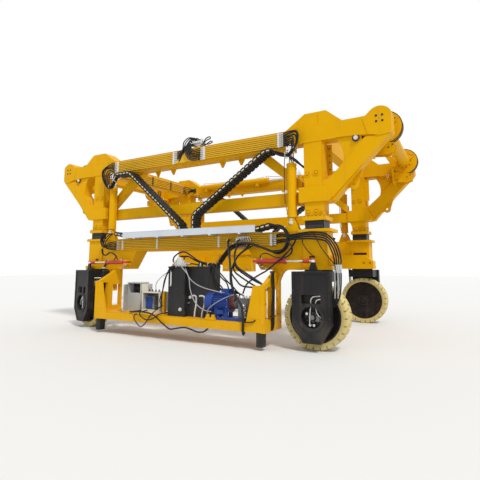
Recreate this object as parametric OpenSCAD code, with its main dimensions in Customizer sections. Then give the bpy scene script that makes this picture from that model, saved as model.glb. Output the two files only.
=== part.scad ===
// Straddle carrier: two side frames on four steered wheels, telescopic legs and end cross tubes.
// +X runs along the machine, the power pack side is at -Y, +Z is up and the ground is z = 0.

/* [Overall] */
// Distance between the front and rear steering axes
wheel_base = 6160; // [5900:20:6600]
// Distance between the centre planes of the two side frames
frame_gauge = 3920; // [3800:20:4300]
// Running gap between a moving face and its seat
running_gap = 0.5; // [0.3:0.1:2]

/* [Wheels] */
// Radial thickness of a tyre
tyre_wall = 125; // [100:5:130]
// Width of a tyre
tyre_w = 350; // [300:5:370]
// Outside diameter of the rim
rim_d = 1000; // [900:10:1050]
// Wall of the rim barrel
rim_wall = 25; // [15:1:40]
// Steering axis to the centre plane of the wheel
wheel_offset = 145; // [120:5:150]
// Lugs round each shoulder of a tyre
tyre_lugs = 18; // [14:1:24]
// Depth of the grooves between the lugs
lug_h = 55; // [40:5:60]
// Diameter of the hub
hub_d = 300; // [220:10:320]
// Radial ribs on the dish of a rim
rim_ribs = 8; // [6:1:12]

/* [Forks] */
// Width of the fork plate along the machine
fork_w = 740; // [640:10:780]
// Depth of the box that makes the fork plate
fork_box = 155; // [100:5:180]
// Raised border round the fork plate
fork_rim = 12; // [8:1:14]
// Gap between the tyre and the fork plate
fork_gap = 45; // [30:5:60]
// Gap between the tyre and the fork head above it
head_gap = 25; // [20:5:60]
// Height of the fork head
head_h = 195; // [150:5:220]
// Thickness of the steering lug
lug_t = 36; // [24:2:44]
// Lowest edge of the fork plate above the ground
fork_low = 160; // [120:10:220]
// Diameter of the hub hole in the fork plate
fork_hole = 400; // [340:10:420]
// Diameter of the slewing ring
ring_d = 560; // [460:10:600]
// Height of the slewing ring
ring_h = 30; // [20:1:60]
// Rest angle of the left near fork, clockwise seen from above
left_steer = 14; // [0:1:20]

/* [Steering cylinders] */
// Steering axis to the line of the cylinder
steer_lever = 330; // [300:5:360]
// Diameter of a steering barrel
steer_d = 96; // [80:2:110]
// Length of a steering barrel
steer_len = 700; // [620:10:760]
// Diameter of a steering rod
steer_rod = 45; // [30:1:50]
// Rod eye to the base pin with the wheels straight
steer_pin_span = 1250; // [1180:10:1280]
// Thickness of the rod eye
eye_h = 50; // [40:2:60]

/* [Lower frames] */
// Outside width of an upper column and of a beam
col_w = 380; // [340:10:400]
// Height of the leg shoe
shoe_h = 380; // [340:10:400]
// Underside of the leg shoe to the underside of the lower beam
low_rise = 450; // [400:10:480]
// Height of the lower beam
low_h = 320; // [280:10:340]
// Half length over the leg shoes
shoe_reach = 3450; // [3420:10:3700]
// Inboard width of the leg shoe from the frame's centre plane
shoe_in = 340; // [300:10:360]
// Base pin of a steering cylinder to the inner end of the shoe
lug_edge = 70; // [50:5:100]
// Width of a leg socket along the machine
socket_w = 500; // [460:10:520]
// Depth of a leg socket across the machine
socket_d = 420; // [400:10:440]
// Width of the flanges on a leg socket
flange_w = 670; // [640:10:680]
// Thickness of the flanges
flange_t = 60; // [40:2:70]
// Top of the lower beam to the top of the leg socket
socket_rise = 30; // [10:5:50]

/* [Sill and power pack] */
// Gap between the sill's end and a straight wheel
sill_gap = 165; // [155:5:220]
// Outer face of the sill from the frame's centre plane
sill_out = 860; // [820:10:880]
// Inner edge of the sill from the frame's centre plane
sill_in = 60; // [40:5:80]
// Underside of the sill
sill_z = 330; // [300:5:360]
// Depth of the sill's edge
sill_h = 170; // [140:5:190]
// Plate thickness of the sill's end walls
end_t = 90; // [70:5:110]

/* [Power pack] */
// Left side of the oil tank from the middle of the machine
tank_x = -110; // [-180:5:-60]
// Length of the front part of the tank
tank_front = 457; // [400:1:500]
// Length of the rear part of the tank
tank_rear = 553; // [480:1:560]
// Depth of the tank
tank_d = 540; // [480:10:600]
// Height of the tank
tank_h = 1060; // [960:10:1100]
// Diameter of the electric motor
motor_d = 370; // [320:5:400]
// Length of the electric motor
motor_len = 550; // [480:10:560]
// Height of the motor's axis above the deck
motor_z = 340; // [300:5:360]
// Height of the motor's base
base_h = 60; // [40:5:80]
// Length of the pump and valve block
pump_len = 415; // [390:5:430]
// Width of the control cabinet
cab_w = 420; // [360:10:440]
// Depth of the control cabinet
cab_d = 280; // [220:10:300]
// Height of the control cabinet
cab_h = 670; // [620:10:720]
// Diameter of the door's hinge barrel
hinge_d = 14; // [10:1:20]
// Opening angle of the cabinet door as it stands
door_open = 58; // [0:1:90]

/* [Upper frame] */
// Top of the leg socket to the underside of the column's foot flange, when lowered
foot_rise = 170; // [150:5:200]
// Underside of the middle beam to the underside of the top beam
top_rise = 1190; // [1100:10:1300]
// Height of the top beam
top_h = 380; // [340:10:400]
// Top of the top beam to the top of the humps over the legs
hump_h = 290; // [240:10:340]
// Underside of the column's foot flange to the underside of the middle beam
mid_rise = 360; // [320:10:400]
// Height of the middle beam
mid_h = 270; // [240:10:280]
// Width of the middle beam
mid_w = 200; // [160:10:210]
// Wall thickness of columns
wall = 20; // [12:1:25]
// Half distance between the ear axes along the machine
ear_x = 4390; // [4340:10:4480]
// Underside of the top beam to the ear axes
ear_rise = 310; // [280:10:340]
// Radius of an ear
ear_r = 240; // [220:5:250]
// Raised cheek plates over the ears and the chords
cheek_t = 10; // [6:1:14]
// Diameter of the end tubes
tube_d = 280; // [240:10:300]
// Diameter of the rope discs
disc_d = 680; // [600:10:700]
// Rope disc to the frame's centre plane
disc_in = 460; // [420:10:500]
// Diameter of a load pin
load_pin_d = 90; // [70:5:110]
// Stroke of the lift cylinders
lift_stroke = 1000; // [800:10:1000]
// Diameter of a lift barrel
lift_d = 200; // [180:5:210]
// Diameter of a lift rod
lift_rod_d = 110; // [90:5:120]
// Width of an energy chain
chain_w = 280; // [240:10:300]
// Height of an energy chain's links
chain_h = 100; // [80:5:110]
// Pitch of an energy chain's links
chain_pitch = 205; // [120:5:240]

/* [Hidden] */
$fn = 48;

leg_x = wheel_base / 2;
leg_y = frame_gauge / 2;
tyre_d = rim_d + 2 * tyre_wall;
head_z = tyre_d + head_gap;
head_top = head_z + head_h;
shoe_z = head_top + ring_h;
low_z = shoe_z + low_rise;
low_top = low_z + low_h;
socket_top = low_top + socket_rise;
foot_z = socket_top + foot_rise;
mid_z = foot_z + mid_rise;
mid_top = mid_z + mid_h;
top_z = mid_z + top_rise;
top_top = top_z + top_h;
hump_top = top_top + hump_h;
ear_z = top_z + ear_rise;
guide_w = col_w + 10;
plate_in = wheel_offset + tyre_w / 2 + fork_gap;
plate_out = plate_in + fork_box;
sill_reach = leg_x - tyre_d / 2 - sill_gap;
deck_z = sill_z + sill_h;
tank_y = -sill_out + 120;
motor_x = tank_x + tank_front + tank_rear + 15;
motor_y = -sill_out + 220;
pump_end = motor_x + motor_len + pump_len;
cab_x = -sill_reach + 690;
cab_y = -sill_out + 400;
shoe_inner = leg_x - steer_pin_span + lug_edge;
steer_z = shoe_z + 170;
lift_x = leg_x - 490;
lift_y = 120;
lift_pin_z = low_top + 180;
barrel_top = top_z - 360;
tray_z = low_top + 0.3;
tray_t = 10;
chain_out = -400;
chain_in = chain_out + chain_w;
sill_lip = 8;
yellow = [0.91, 0.66, 0.08];
black = [0.17, 0.17, 0.18];
steel = [0.75, 0.75, 0.77];

// The four corners as [x side, y side, rest steering angle]
corner_nl = [-1, -1, -left_steer];
corner_nr = [1, -1, 0];
corner_fl = [-1, 1, 0];
corner_fr = [1, 1, 0];

// Moves the machine so that the origin is under the middle of its bounding box
module centred() translate([0, (sill_out - plate_out) / 2, 0]) children();

// Places its children on both ends of the machine
module ends() {
    children();
    mirror([1, 0, 0]) children();
}

// Moves a shape drawn about the frame's centre plane, outboard at -Y, to the near side
module near() translate([0, -leg_y, 0]) children();

// The same shape on the far side
module far() mirror([0, 1, 0]) near() children();

// Both side frames
module sides() {
    near() children();
    far() children();
}

// A box given by its lowest corner and its highest corner
module block(low, high) translate(low) cube(high - low);

// An outline in the X-Z plane, extruded along Y from y1 to y2
module slab(y1, y2) translate([0, y2, 0]) rotate([90, 0, 0]) linear_extrude(y2 - y1) children();

// A rod along Y
module rod_y(d, y1, y2) translate([0, y2, 0]) rotate([90, 0, 0]) cylinder(d = d, h = y2 - y1);

// A rod along X
module rod_x(d, x1, x2) translate([x1, 0, 0]) rotate([0, 90, 0]) cylinder(d = d, h = x2 - x1);

// Rounds the inner corners of a route of [x, z] points with arcs of radius r
function unit(v) = v / norm(v);
function arc_steps(p, q, s, r, n) =
    let (a = unit(p - q), b = unit(s - q), half = acos(a * b) / 2, t = r / tan(half),
         c = q + unit(a + b) * r / sin(half), u = (q + a * t - c) / r, v = (q + b * t - c) / r,
         turn = 180 - 2 * half)
    [for (i = [0:n]) c + r * (u * sin(turn * (1 - i / n)) + v * sin(turn * i / n)) / sin(turn)];
function rounded_route(p, r, n) = [for (i = [0:len(p) - 1]) each
    (i == 0 || i == len(p) - 1) ? [p[i]] : arc_steps(p[i - 1], p[i], p[i + 1], r, n)];

// Point and direction at a distance along a route, and the outline of a chain along it, notched between links
function reach_of(p, i = 0) = i > len(p) - 2 ? 0 : norm(p[i + 1] - p[i]) + reach_of(p, i + 1);
function spot(p, s, i = 0) = let (d = norm(p[i + 1] - p[i]))
    (i > len(p) - 3 || s <= d) ? [p[i] + unit(p[i + 1] - p[i]) * s, unit(p[i + 1] - p[i])] : spot(p, s - d, i + 1);
function side_dir(p, i) = let (d = unit(p[min(i + 1, len(p) - 1)] - p[max(i - 1, 0)])) [-d[1], d[0]];
function chain_links(p, w, n, notch) = [for (k = [1:n - 1], t = [-1:1])
    let (q = spot(p, k * reach_of(p) / n + t * notch)) q[0] + [-q[1][1], q[1][0]] * (w / 2 - (t == 0 ? notch : 0))];
function chain_outline(p, w, pitch, notch) =
    let (end = len(p) - 1, links = chain_links(p, w, round(reach_of(p) / pitch), notch))
    concat([for (i = [0:end]) p[i] - side_dir(p, i) * w / 2], [p[end] + side_dir(p, end) * w / 2],
        [for (i = [len(links) - 1:-1:0]) links[i]], [p[0] + side_dir(p, 0) * w / 2]);

// Part of an ellipse about a centre, as [x, z] points
function arc(c, rx, rz, a1, a2, n) = [for (i = [0:n]) let (a = a1 + (a2 - a1) * i / n) [c[0] + rx * cos(a), c[1] + rz * sin(a)]];

// Lower frame of one side: beam, haunches, leg shoes, sockets and cylinder lugs
module lower_frame() {
    haunch = 300;
    shoe_top = shoe_z + shoe_h;
    difference() {
        union() {
            slab(-col_w / 2, col_w / 2) polygon([
                [-leg_x, low_top], [leg_x, low_top], [leg_x, shoe_z], [shoe_inner, shoe_z],
                [shoe_inner - haunch, low_z], [-shoe_inner + haunch, low_z],
                [-shoe_inner, shoe_z], [-leg_x, shoe_z]]);
            ends() leg_socket();
            ends() slab(0, shoe_in) polygon([[shoe_inner + 300, shoe_z], [shoe_reach, shoe_z],
                [shoe_reach, shoe_top - 180], [shoe_reach - 240, shoe_top], [shoe_inner + 300, shoe_top]]);
            ends() lift_lug();
            ends() steer_lug();
        }
        ends() translate([leg_x, 0, 0]) {
            block([-guide_w / 2, -guide_w / 2, low_z - 200], [guide_w / 2, guide_w / 2, socket_top + 1]);
            block([-120, -socket_d / 2 - 1, shoe_z + 150], [0, -socket_d / 2 + 60, shoe_z + 270]);
            block([-180, guide_w / 2 - 1, shoe_top + 5], [180, socket_d / 2 + 1, low_z - 5]);
            for (x = [90, 250]) block([x, shoe_in - 30, shoe_z + 130], [x + 60, shoe_in + 1, shoe_z + 190]);
        }
    }
}

// Socket that the inner leg stands in, with its top and bottom flanges and ribs
module leg_socket() translate([leg_x, 0, 0]) {
    d = socket_d / 2;
    block([-socket_w / 2, -d, shoe_z + 20], [socket_w / 2, d, socket_top]);
    block([-flange_w / 2, -d - 30, socket_top - flange_t], [flange_w / 2, d + 70, socket_top]);
    block([-flange_w / 2, -d - 30, shoe_z], [flange_w / 2, d + 70, shoe_z + flange_t + 20]);
    rib = (flange_w - socket_w) / 2;
    for (y = [-d + 30, d - 50])
        slab(y, y + 20) polygon([[socket_w / 2 - 5, shoe_z + flange_t], [socket_w / 2 + rib, shoe_z + flange_t],
            [socket_w / 2 - 5, shoe_z + flange_t + 260]]);
}

// Clevis lug that carries the foot of a lift cylinder
module lift_lug() translate([lift_x, -lift_y, 0])
    for (y = [-75, 45])
        slab(y, y + 30) difference() {
            hull() {
                translate([0, lift_pin_z]) circle(r = 95);
                translate([-170, low_top - 10]) square([340, 20]);
            }
            translate([0, lift_pin_z]) circle(d = 70);
        }

// Lug that carries the base pin of a steering cylinder
module steer_lug() translate([leg_x - steer_pin_span, -steer_lever, steer_z]) {
    block([-50, -40, -eye_h / 2 - 30], [50, steer_lever - col_w / 2 + 2, -eye_h / 2 - running_gap]);
    block([-50, -40, eye_h / 2 + running_gap], [50, steer_lever - col_w / 2 + 2, eye_h / 2 + 30]);
}

// Inner leg, fixed in the socket and sliding inside the upper column
module inner_leg() translate([leg_x, 0, 0]) {
    w = col_w - 2 * wall - 12;
    difference() {
        block([-w / 2, -w / 2, low_z], [w / 2, w / 2, hump_top - 260]);
        block([-w / 2 + 20, -w / 2 + 20, low_z - 1], [w / 2 - 20, w / 2 - 20, hump_top]);
    }
    g = guide_w / 2 - running_gap;
    difference() {
        block([-g, -g, socket_top - 130], [g, g, foot_z - running_gap]);
        block([-w / 2 + 1, -w / 2 + 1, 0], [w / 2 - 1, w / 2 - 1, hump_top]);
    }
}

// Outboard sill: two rails, cross members, deck and end walls, which hang from the shoes
module sill_platform() {
    top = sill_z + sill_h;
    rail = 60;
    step = 6;
    end = sill_reach - end_t / 2;
    for (y = [-sill_out, -sill_in - rail]) block([-end, y, sill_z], [end, y + rail, top - step]);
    for (x = [-1500:750:1500])
        block([x - 40, -sill_out + rail / 2, sill_z + 20], [x + 40, -sill_in - rail / 2, top - step]);
    block([-end, -sill_out + rail / 3, top - 2 * step], [end, -sill_in - step, top]);
    block([tank_x - 310, -sill_out + 300, top - step], [tank_x - 250, -sill_out + 360, top + 500]);
    ends() sill_end();
    ends() sill_hanger();
}

// Square feet under the ends of the sill
module sill_foot() block([sill_reach - 190, -sill_out + 30, 60], [sill_reach - 60, -sill_out + 190, sill_z - sill_lip - 0.3]);

// Curved gusset with its flange between the sill's end wall and the shoe
module sill_hanger() {
    rise = 550;
    bulge = 240;
    curve = arc([sill_reach + bulge, shoe_z - rise], bulge, rise, 180, 90, 8);
    slab(-240, -220) difference() {
        polygon(concat([[sill_reach - 20, shoe_z - 0.3], [sill_reach - 20, shoe_z - rise]],
            [for (q = curve) [q[0], min(q[1], shoe_z - 0.3)]]));
        translate([sill_reach + 90, shoe_z - 90]) circle(d = 50);
    }
    slab(-290, -160) polygon(concat([for (q = curve) [q[0], min(q[1], shoe_z - 0.3)]],
        [for (i = [len(curve) - 1:-1:0]) [curve[i][0] - 14, min(curve[i][1] + 4, shoe_z - 0.3)]]));
}

// End wall of the sill: trapezoid post in front, a tall slot and the plate up to the shoe
module sill_end() {
    post_h = 1200;
    inset = sill_lip;
    translate([sill_reach, 0, 0]) rotate([90, 0, -90]) linear_extrude(end_t) difference() {
        polygon([[sill_out - inset, sill_z - inset], [sill_out - inset, post_h - inset], [sill_out - 130, post_h + 40],
            [col_w / 2 + 60, shoe_z], [sill_in, shoe_z], [sill_in, sill_z - inset]]);
        translate([sill_out - 330, sill_z + 220]) square([230, 620]);
        translate([sill_in + 60, sill_z + 260]) square([260, 520]);
    }
    slab(-sill_out, -sill_out + 30) polygon([[sill_reach - inset, sill_z + sill_h - 20],
        [sill_reach - 400, sill_z + sill_h - 20], [sill_reach - 240, post_h], [sill_reach - inset, post_h]]);
}

// Aluminium channel that the energy chains run down into
module cable_tray() {
    tray_len = 1880;
    side = 20;
    y1 = chain_out - side - tray_t;
    y2 = chain_in + side + tray_t;
    difference() {
        block([-tray_len, y1, tray_z], [tray_len, y2, tray_z + 150]);
        block([-tray_len - 1, y1 + tray_t, tray_z + tray_t], [tray_len + 1, y2 - tray_t, tray_z + 151]);
    }
    for (x = [-1500:750:1500]) block([x - 30, y1, tray_z - 25], [x + 30, -col_w / 2, tray_z + 1]);
}

// Pipe run on the outer face of the lower beam
module lower_pipes() {
    for (i = [0:5]) translate([0, -col_w / 2 - 34, low_z + 60 + i * 40]) rod_x(30, -2200, 2200);
    for (x = [-2060, -900, 880, 2160])
        block([x - 20, -col_w / 2 - 34, low_z + 40], [x + 20, -col_w / 2, low_z + 270]);
}

// Steering barrel with its base eye, drawn for one end
module steer_barrel() translate([leg_x - steer_pin_span, -steer_lever, steer_z]) {
    difference() {
        union() {
            cylinder(d = 90, h = eye_h, center = true);
            block([0, -35, -eye_h / 2], [66, 35, eye_h / 2]);
            rod_x(steer_d, 65, steer_len);
        }
        rod_x(steer_rod + 12, 120, steer_len + 1);
    }
}

// Steering rod with its eye, drawn at its corner; shift moves it to the fork's rest angle
module steer_rod(c) {
    shift = -steer_lever * sin(c[2]) * c[1];
    translate([shift, 0, 0]) scale_corner(c) translate([leg_x, -steer_lever, steer_z]) {
        cylinder(d = 90, h = eye_h, center = true);
        rod_x(steer_rod, -steer_pin_span + 330, -38);
    }
}

// Mirrors a shape drawn at the right near corner to corner c
module scale_corner(c) mirror([c[0] < 0 ? 1 : 0, 0, 0]) mirror([0, c[1] > 0 ? 1 : 0, 0])
    translate([0, -leg_y, 0]) children();

// Turns a shape drawn about a steering axis, outboard at -Y, to its corner and rest angle
module at_corner(c) translate([c[0] * leg_x, c[1] * leg_y, 0]) rotate([0, 0, c[2]])
    mirror([0, c[1] > 0 ? 1 : 0, 0]) mirror([c[0] < 0 ? 1 : 0, 0, 0]) children();

// Lift barrel with its foot eye
module lift_barrel() translate([lift_x, -lift_y, 0]) {
    difference() {
        translate([0, 0, lift_pin_z + 100]) cylinder(d = lift_d, h = barrel_top - lift_pin_z - 100);
        translate([0, 0, lift_pin_z + 130]) cylinder(d = lift_rod_d + 12, h = barrel_top);
    }
    translate([0, 0, lift_pin_z]) difference() {
        union() {
            rod_y(130, -44, 44);
            block([-60, -44, 0], [60, 44, 101]);
        }
        rod_y(70, -50, 50);
    }
    translate([0, 0, lift_pin_z]) rod_y(69, -85, 85);
}

// Lift rod with its top bracket under the top beam
module lift_rod() translate([lift_x, -lift_y, 0]) {
    translate([0, 0, barrel_top - lift_stroke - 60]) cylinder(d = lift_rod_d, h = top_z - barrel_top + lift_stroke);
    block([-90, -70, top_z - 90], [90, 90, top_top - 300]);
}

// Upper column: hollow guide tube, hump, doubler band and foot flange
module upper_column() translate([leg_x, 0, 0]) {
    h = col_w / 2;
    difference() {
        union() {
            block([-h, -h, foot_z], [h, h, top_top]);
            slab(-h, h) polygon([[-580, top_top - 300], [-580, top_top], [-160, hump_top],
                [290, hump_top], [610, top_top + 20], [610, top_top - 300]]);
            slab(-h - cheek_t, -h + 5) polygon([[-h - 110, top_z + 50], [610, top_z + 60],
                [610, top_top + 15], [-h - 110, top_top]]);
            block([-310, -h - 30, mid_z + 10], [h, h + 30, mid_top + 50]);
            slab(h - 40, h) polygon(concat([[-h + 1, mid_z + 11]],
                arc([-310, foot_z + 79], 310 - h, mid_z - foot_z - 68, 90, 0, 6), [[-h + 1, foot_z + 79]]));
            block([-h - 40, -h - 40, foot_z], [h + 60, h + 40, foot_z + 80]);
        }
        block([-h + wall, -h + wall, foot_z - 1], [h - wall, h - wall, hump_top - wall]);
    }
}

// Top beam of one side
module top_beam() block([-leg_x + 580, -170, top_z], [leg_x - 580, 130, top_top]);

// Middle beam of one side with its diagonal braces
module mid_beam() {
    x = leg_x - 310;
    slab(-10, mid_w - 10) polygon([[-x, mid_z], [x, mid_z], [x, mid_top], [-x, mid_top]]);
    ends() slab(0, mid_w - 20) polygon([[x, mid_top], [x, mid_top + 210], [1980, top_z], [1640, top_z]]);
}

// End bracket: chord, ear, diagonal strut and the recessed web with its cut-outs
module end_bracket() {
    h = col_w / 2;
    x0 = leg_x + h;
    chord_x = leg_x + 610;
    flat_x = ear_x + 210;
    pin = [ear_x - 445, ear_z - 312];
    ear = concat([[ear_x - 220, ear_z - 270], [ear_x, ear_z - 330], [flat_x - 110, ear_z - 320]],
        arc([flat_x - 90, ear_z - 230], 90, 90, -70, 0, 4), arc([ear_x, ear_z], ear_r, ear_r, 29, 128, 8),
        [[ear_x - 260, top_top + 18], [ear_x - 330, top_top + 20]]);
    difference() {
        slab(-h + 25, h - 115) polygon([[x0, mid_z + 20], [x0 + 220, mid_z + 20], [flat_x - 20, ear_z - 240],
            [ear_x, ear_z], [chord_x, top_top], [chord_x, top_top - 300], [x0, top_top - 300]]);
        intersection() {
            slab(-h, h) polygon([[x0 + 30, top_z + 60], [x0 + 440, top_z + 60], [x0 + 440, top_z - 440],
                [x0 + 30, mid_top + 130]]);
            translate([x0 - 120, 0, top_z - 320]) rod_y(1086, -h, h);
        }
        slab(-h, h) polygon([[pin[0] + 80, top_z + 60], [ear_x - 210, top_z + 60], [ear_x - 330, top_z - 40]]);
        translate([pin[0], 0, pin[1]]) rod_y(load_pin_d, -h, h);
    }
    difference() {
        union() {
            slab(-h, h) polygon([[chord_x, top_z + 60], [ear_x, top_z], [ear_x, top_top + 20], [chord_x, top_top + 20]]);
            slab(-h - cheek_t, -h + 5) polygon([[chord_x, top_z + 60], [ear_x - 230, ear_z - 269],
                [ear_x - 330, top_top + 18], [chord_x, top_top + 15]]);
            slab(-h - cheek_t, h) polygon(ear);
            slab(-h, h - 90) polygon([[x0, mid_z + 20], [x0 + 140, mid_z + 20], [ear_x + 170, ear_z - 320],
                [ear_x - 280, ear_z - 320], [x0 + 150, mid_top + 190], [x0, mid_top + 150]]);
            slab(-h - 30, h + 30) polygon([[x0, mid_z + 10], [x0 + 120, mid_z + 10], [x0 + 190, mid_z + 90],
                [x0 + 60, mid_top + 50], [x0, mid_top + 50]]);
            translate([pin[0], 0, pin[1]]) rod_y(load_pin_d + 60, -h + 10, h - 10);
        }
        translate([pin[0], 0, pin[1]]) rod_y(load_pin_d, -h - 50, h + 50);
    }
    translate([pin[0], 0, pin[1]]) rod_y(load_pin_d - 1, -h - 25, h + 230);
    translate([x0 + 560, 0, mid_z + 330]) strut_eye();
}

// Lifting eye under the strut
module strut_eye() difference() {
    union() {
        rod_y(200, -20, 20);
        slab(-20, 20) polygon([[-71, -71], [71, -71], [180, 270], [-190, -100]]);
    }
    rod_y(60, -21, 21);
}

// Round tube between the ears, with its double rope discs
module end_tube() translate([ear_x, 0, ear_z]) {
    reach = leg_y - col_w / 2;
    rod_y(tube_d, -reach, reach);
    for (s = [-1, 1]) translate([0, s * (leg_y - disc_in), 0]) {
        for (y = [-75, 30]) rod_y(disc_d, y, y + 45);
        rod_y(disc_d - 160, -40, 40);
        for (y = [-113, 97]) slab(y, y + 16) polygon([[40, 40], [150, 215], [245, 190], [236, 100], [120, 20]]);
    }
}

// Arched plate below the end tube
module end_portal() {
    reach = leg_y - col_w / 2;
    x = ear_x - 290;
    r = 350;
    slot = 120;
    translate([x, 0, 0]) rotate([90, 0, 90]) linear_extrude(40) difference() {
        polygon([[-reach, ear_z + 70], [reach, ear_z + 70], [reach, ear_z - 550], [-reach, ear_z - 550]]);
        hull() {
            for (s = [-1, 1]) translate([s * (reach - 480 - r), ear_z - 110 - r]) circle(r = r);
            translate([-reach + 480, ear_z - 900]) square([2 * reach - 960, 100]);
        }
        for (s = [-1, 1]) translate([s * (leg_y - disc_in) - slot, ear_z - 250]) square([2 * slot, 400]);
    }
    for (s = [-1, 1], y = [-113, 97]) translate([x, s * (leg_y - disc_in) + y, 0])
        slab(0, 16) polygon([[39, ear_z - 260], [39, ear_z - 540], [330, ear_z - 570], [470, ear_z - 520], [470, ear_z - 350]]);
}

// Cross beam between the humps of the two sides
module cross_beam() {
    reach = leg_y - col_w / 2;
    block([leg_x - 120, -reach, top_z + 80], [leg_x + 120, reach, top_z + 460]);
}

// Pipe runs of the upper frame: near top beam and both cross beams
module upper_pipe_runs() {
    near() {
        for (i = [0:6]) translate([0, -200, top_z + 60 + i * 44]) {
            rod_x(34, -2420, -430);
            rod_x(34, 400, 2380);
        }
        for (x = [-2370, -470, 440, 2340]) block([x - 20, -200, top_z + 30], [x + 20, -170, top_z + 350]);
        slab(-230, -170) polygon([[-390, top_z + 70], [-100, top_z + 290], [270, top_z + 70], [270, top_z + 40], [-390, top_z + 40]]);
    }
    ends() {
        for (i = [0:4]) translate([leg_x - 145, 0, top_z + 150 + i * 55]) rod_y(34, -1500, 1500);
        for (y = [-900, 0, 900]) block([leg_x - 145, y - 20, top_z + 110], [leg_x - 120, y + 20, top_z + 430]);
    }
}

// Long hoist cylinder that lies along the inner face of the far top beam
module hoist_ram() far() translate([0, 260, top_z + 300]) {
    rod_x(180, -2300, 300);
    rod_x(90, 300, 1500);
    for (x = [-2100, -100, 1400]) block([x - 50, -130, -160], [x + 50, 60, 40]);
}

// Energy chain pair of one side: a V from the tray up to the underside of the top beam
module chain_pair() {
    apex = 80;
    half = 187;
    low = tray_z + tray_t + 0.3;
    high = top_z - chain_h / 2 - 0.3;
    left = rounded_route([[apex - half, low], [apex - half, low + 240], [-1790, high], [-2200, high]], 220, 6);
    right = rounded_route([[apex + half, low], [apex + half, low + 460], [2090, high], [2270, high]], 220, 6);
    for (p = [left, right]) slab(chain_out, chain_in) polygon(chain_outline(p, chain_h, chain_pitch, 14));
}

// Outline of the fork plate, drawn in by a margin
function fork_outline(m) = let (half = fork_w / 2 - m, flat = 0.46 * fork_w / 2 - m / 2)
    [[-half, head_top - m], [half, head_top - m], [half, fork_low + 320 + m / 2],
     [flat, fork_low + m], [-flat, fork_low + m], [-half, fork_low + 320 + m / 2]];

// Fork: head, slewing ring, box plate with its hub hole and recesses, and the steering lug
module fork_body(recesses = [[-185, 185]]) {
    half = fork_w / 2;
    axle_z = tyre_d / 2;
    difference() {
        slab(-plate_out, -plate_in) polygon(fork_outline(0));
        translate([0, 0, axle_z]) rod_y(fork_hole, -plate_out - 1, -plate_in + 1);
        for (r = recesses) block([r[0], -plate_out - 1, axle_z + fork_hole / 2 + 50],
            [r[1], -plate_out + 90, axle_z + fork_hole / 2 + 215]);
    }
    slab(-plate_out - fork_rim, -plate_out + 1) difference() {
        polygon(fork_outline(0));
        polygon(fork_outline(45));
    }
    translate([0, 0, axle_z]) difference() {
        rod_y(fork_hole + 110, -plate_out - 15, -plate_out + 5);
        rod_y(fork_hole, -plate_out - 16, -plate_out + 6);
    }
    translate([0, 0, axle_z]) {
        rod_y(fork_hole + 60, -plate_in - 2, -plate_in + 18);
        rod_y(hub_d, -plate_in, -wheel_offset - 60);
        rod_y(hub_d - 100, -plate_in - 50, -plate_in + 1);
        rod_y(hub_d - 210, -plate_in - 95, -plate_in - 49);
    }
    block([-half + 40, -plate_in - 2, head_z], [half - 40, 240, head_top]);
    translate([0, 0, head_top - 1]) cylinder(d = ring_d, h = shoe_z - head_top + 1 - running_gap);
    lug_top = steer_z - eye_h / 2 - running_gap;
    translate([0, -steer_lever, 0]) slab(-lug_t / 2, lug_t / 2) polygon([[-150, head_top - 1], [150, head_top - 1],
        [150, head_top + 20], [80, shoe_z], [40, lug_top], [-40, lug_top], [-80, shoe_z], [-150, head_top + 20]]);
}

// Rim: barrel, dish with radial ribs and hub, inboard at +Y
module rim_body() translate([0, -wheel_offset, tyre_d / 2]) {
    half = tyre_w / 2 - 12;
    difference() {
        rod_y(rim_d, -half, half);
        rod_y(rim_d - 2 * rim_wall, -half - 1, -20);
        rod_y(rim_d - 2 * rim_wall, 20, half + 1);
    }
    rod_y(rim_d - 2 * rim_wall + 2, half - 40, half - 20);
    rod_y(hub_d, -60 + running_gap, half);
    for (i = [0:rim_ribs - 1]) rotate([0, i * 360 / rim_ribs, 0])
        block([hub_d / 2 - 5, half - 22, -12], [rim_d / 2 - rim_wall + 2, half - 4, 12]);
}

// Solid tyre: a ring of lugs round each shoulder, half a pitch apart, that stands on the foot of a lug
module tyre_body() translate([0, -wheel_offset, tyre_d / 2]) difference() {
    r = tyre_d / 2;
    half = tyre_w / 2 - 6;
    pitch = 360 / tyre_lugs;
    top = 0.34 * pitch;
    foot = 0.43 * pitch;
    for (side = [0, 1]) slab(side ? -half : 0, side ? 0 : half) polygon([for (i = [0:tyre_lugs - 1], k = [0:3])
        let (a = -90 + top + (i + side / 2) * pitch + [-foot, -top, top, foot][k], q = (k == 0 || k == 3) ? r - lug_h : r)
        [q * cos(a), q * sin(a)]]);
    rod_y(rim_d, -half - 2, half + 2);
}

// The nodes, each with its colour and its place
module near_lower_frame() color(yellow) centred() near() lower_frame();
module far_lower_frame() color(yellow) centred() far() lower_frame();
module near_inner_legs() color(black) centred() near() ends() inner_leg();
module far_inner_legs() color(black) centred() far() ends() inner_leg();
module sill() color(yellow) centred() near() sill_platform();
module sill_feet() color(black) centred() near() ends() sill_foot();
module near_cable_tray() color(steel) centred() near() cable_tray();
module far_cable_tray() color(steel) centred() far() cable_tray();
module near_lower_pipes() color(yellow) centred() near() lower_pipes();
module near_steer_barrels() color("firebrick") centred() near() ends() steer_barrel();
module far_steer_barrels() color("firebrick") centred() far() ends() steer_barrel();
module near_lift_barrels() color(yellow) centred() near() ends() lift_barrel();
module far_lift_barrels() color(yellow) centred() far() ends() lift_barrel();
module lift_rods() color(steel) centred() sides() ends() lift_rod();
module upper_columns() color(yellow) centred() sides() ends() upper_column();
module top_beams() color(yellow) centred() sides() top_beam();
module mid_beams() color(yellow) centred() sides() mid_beam();
module end_brackets() color(yellow) centred() sides() ends() end_bracket();
module end_tubes() color(yellow) centred() ends() end_tube();
module end_portals() color(yellow) centred() ends() end_portal();
module cross_beams() color(yellow) centred() ends() cross_beam();
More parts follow.
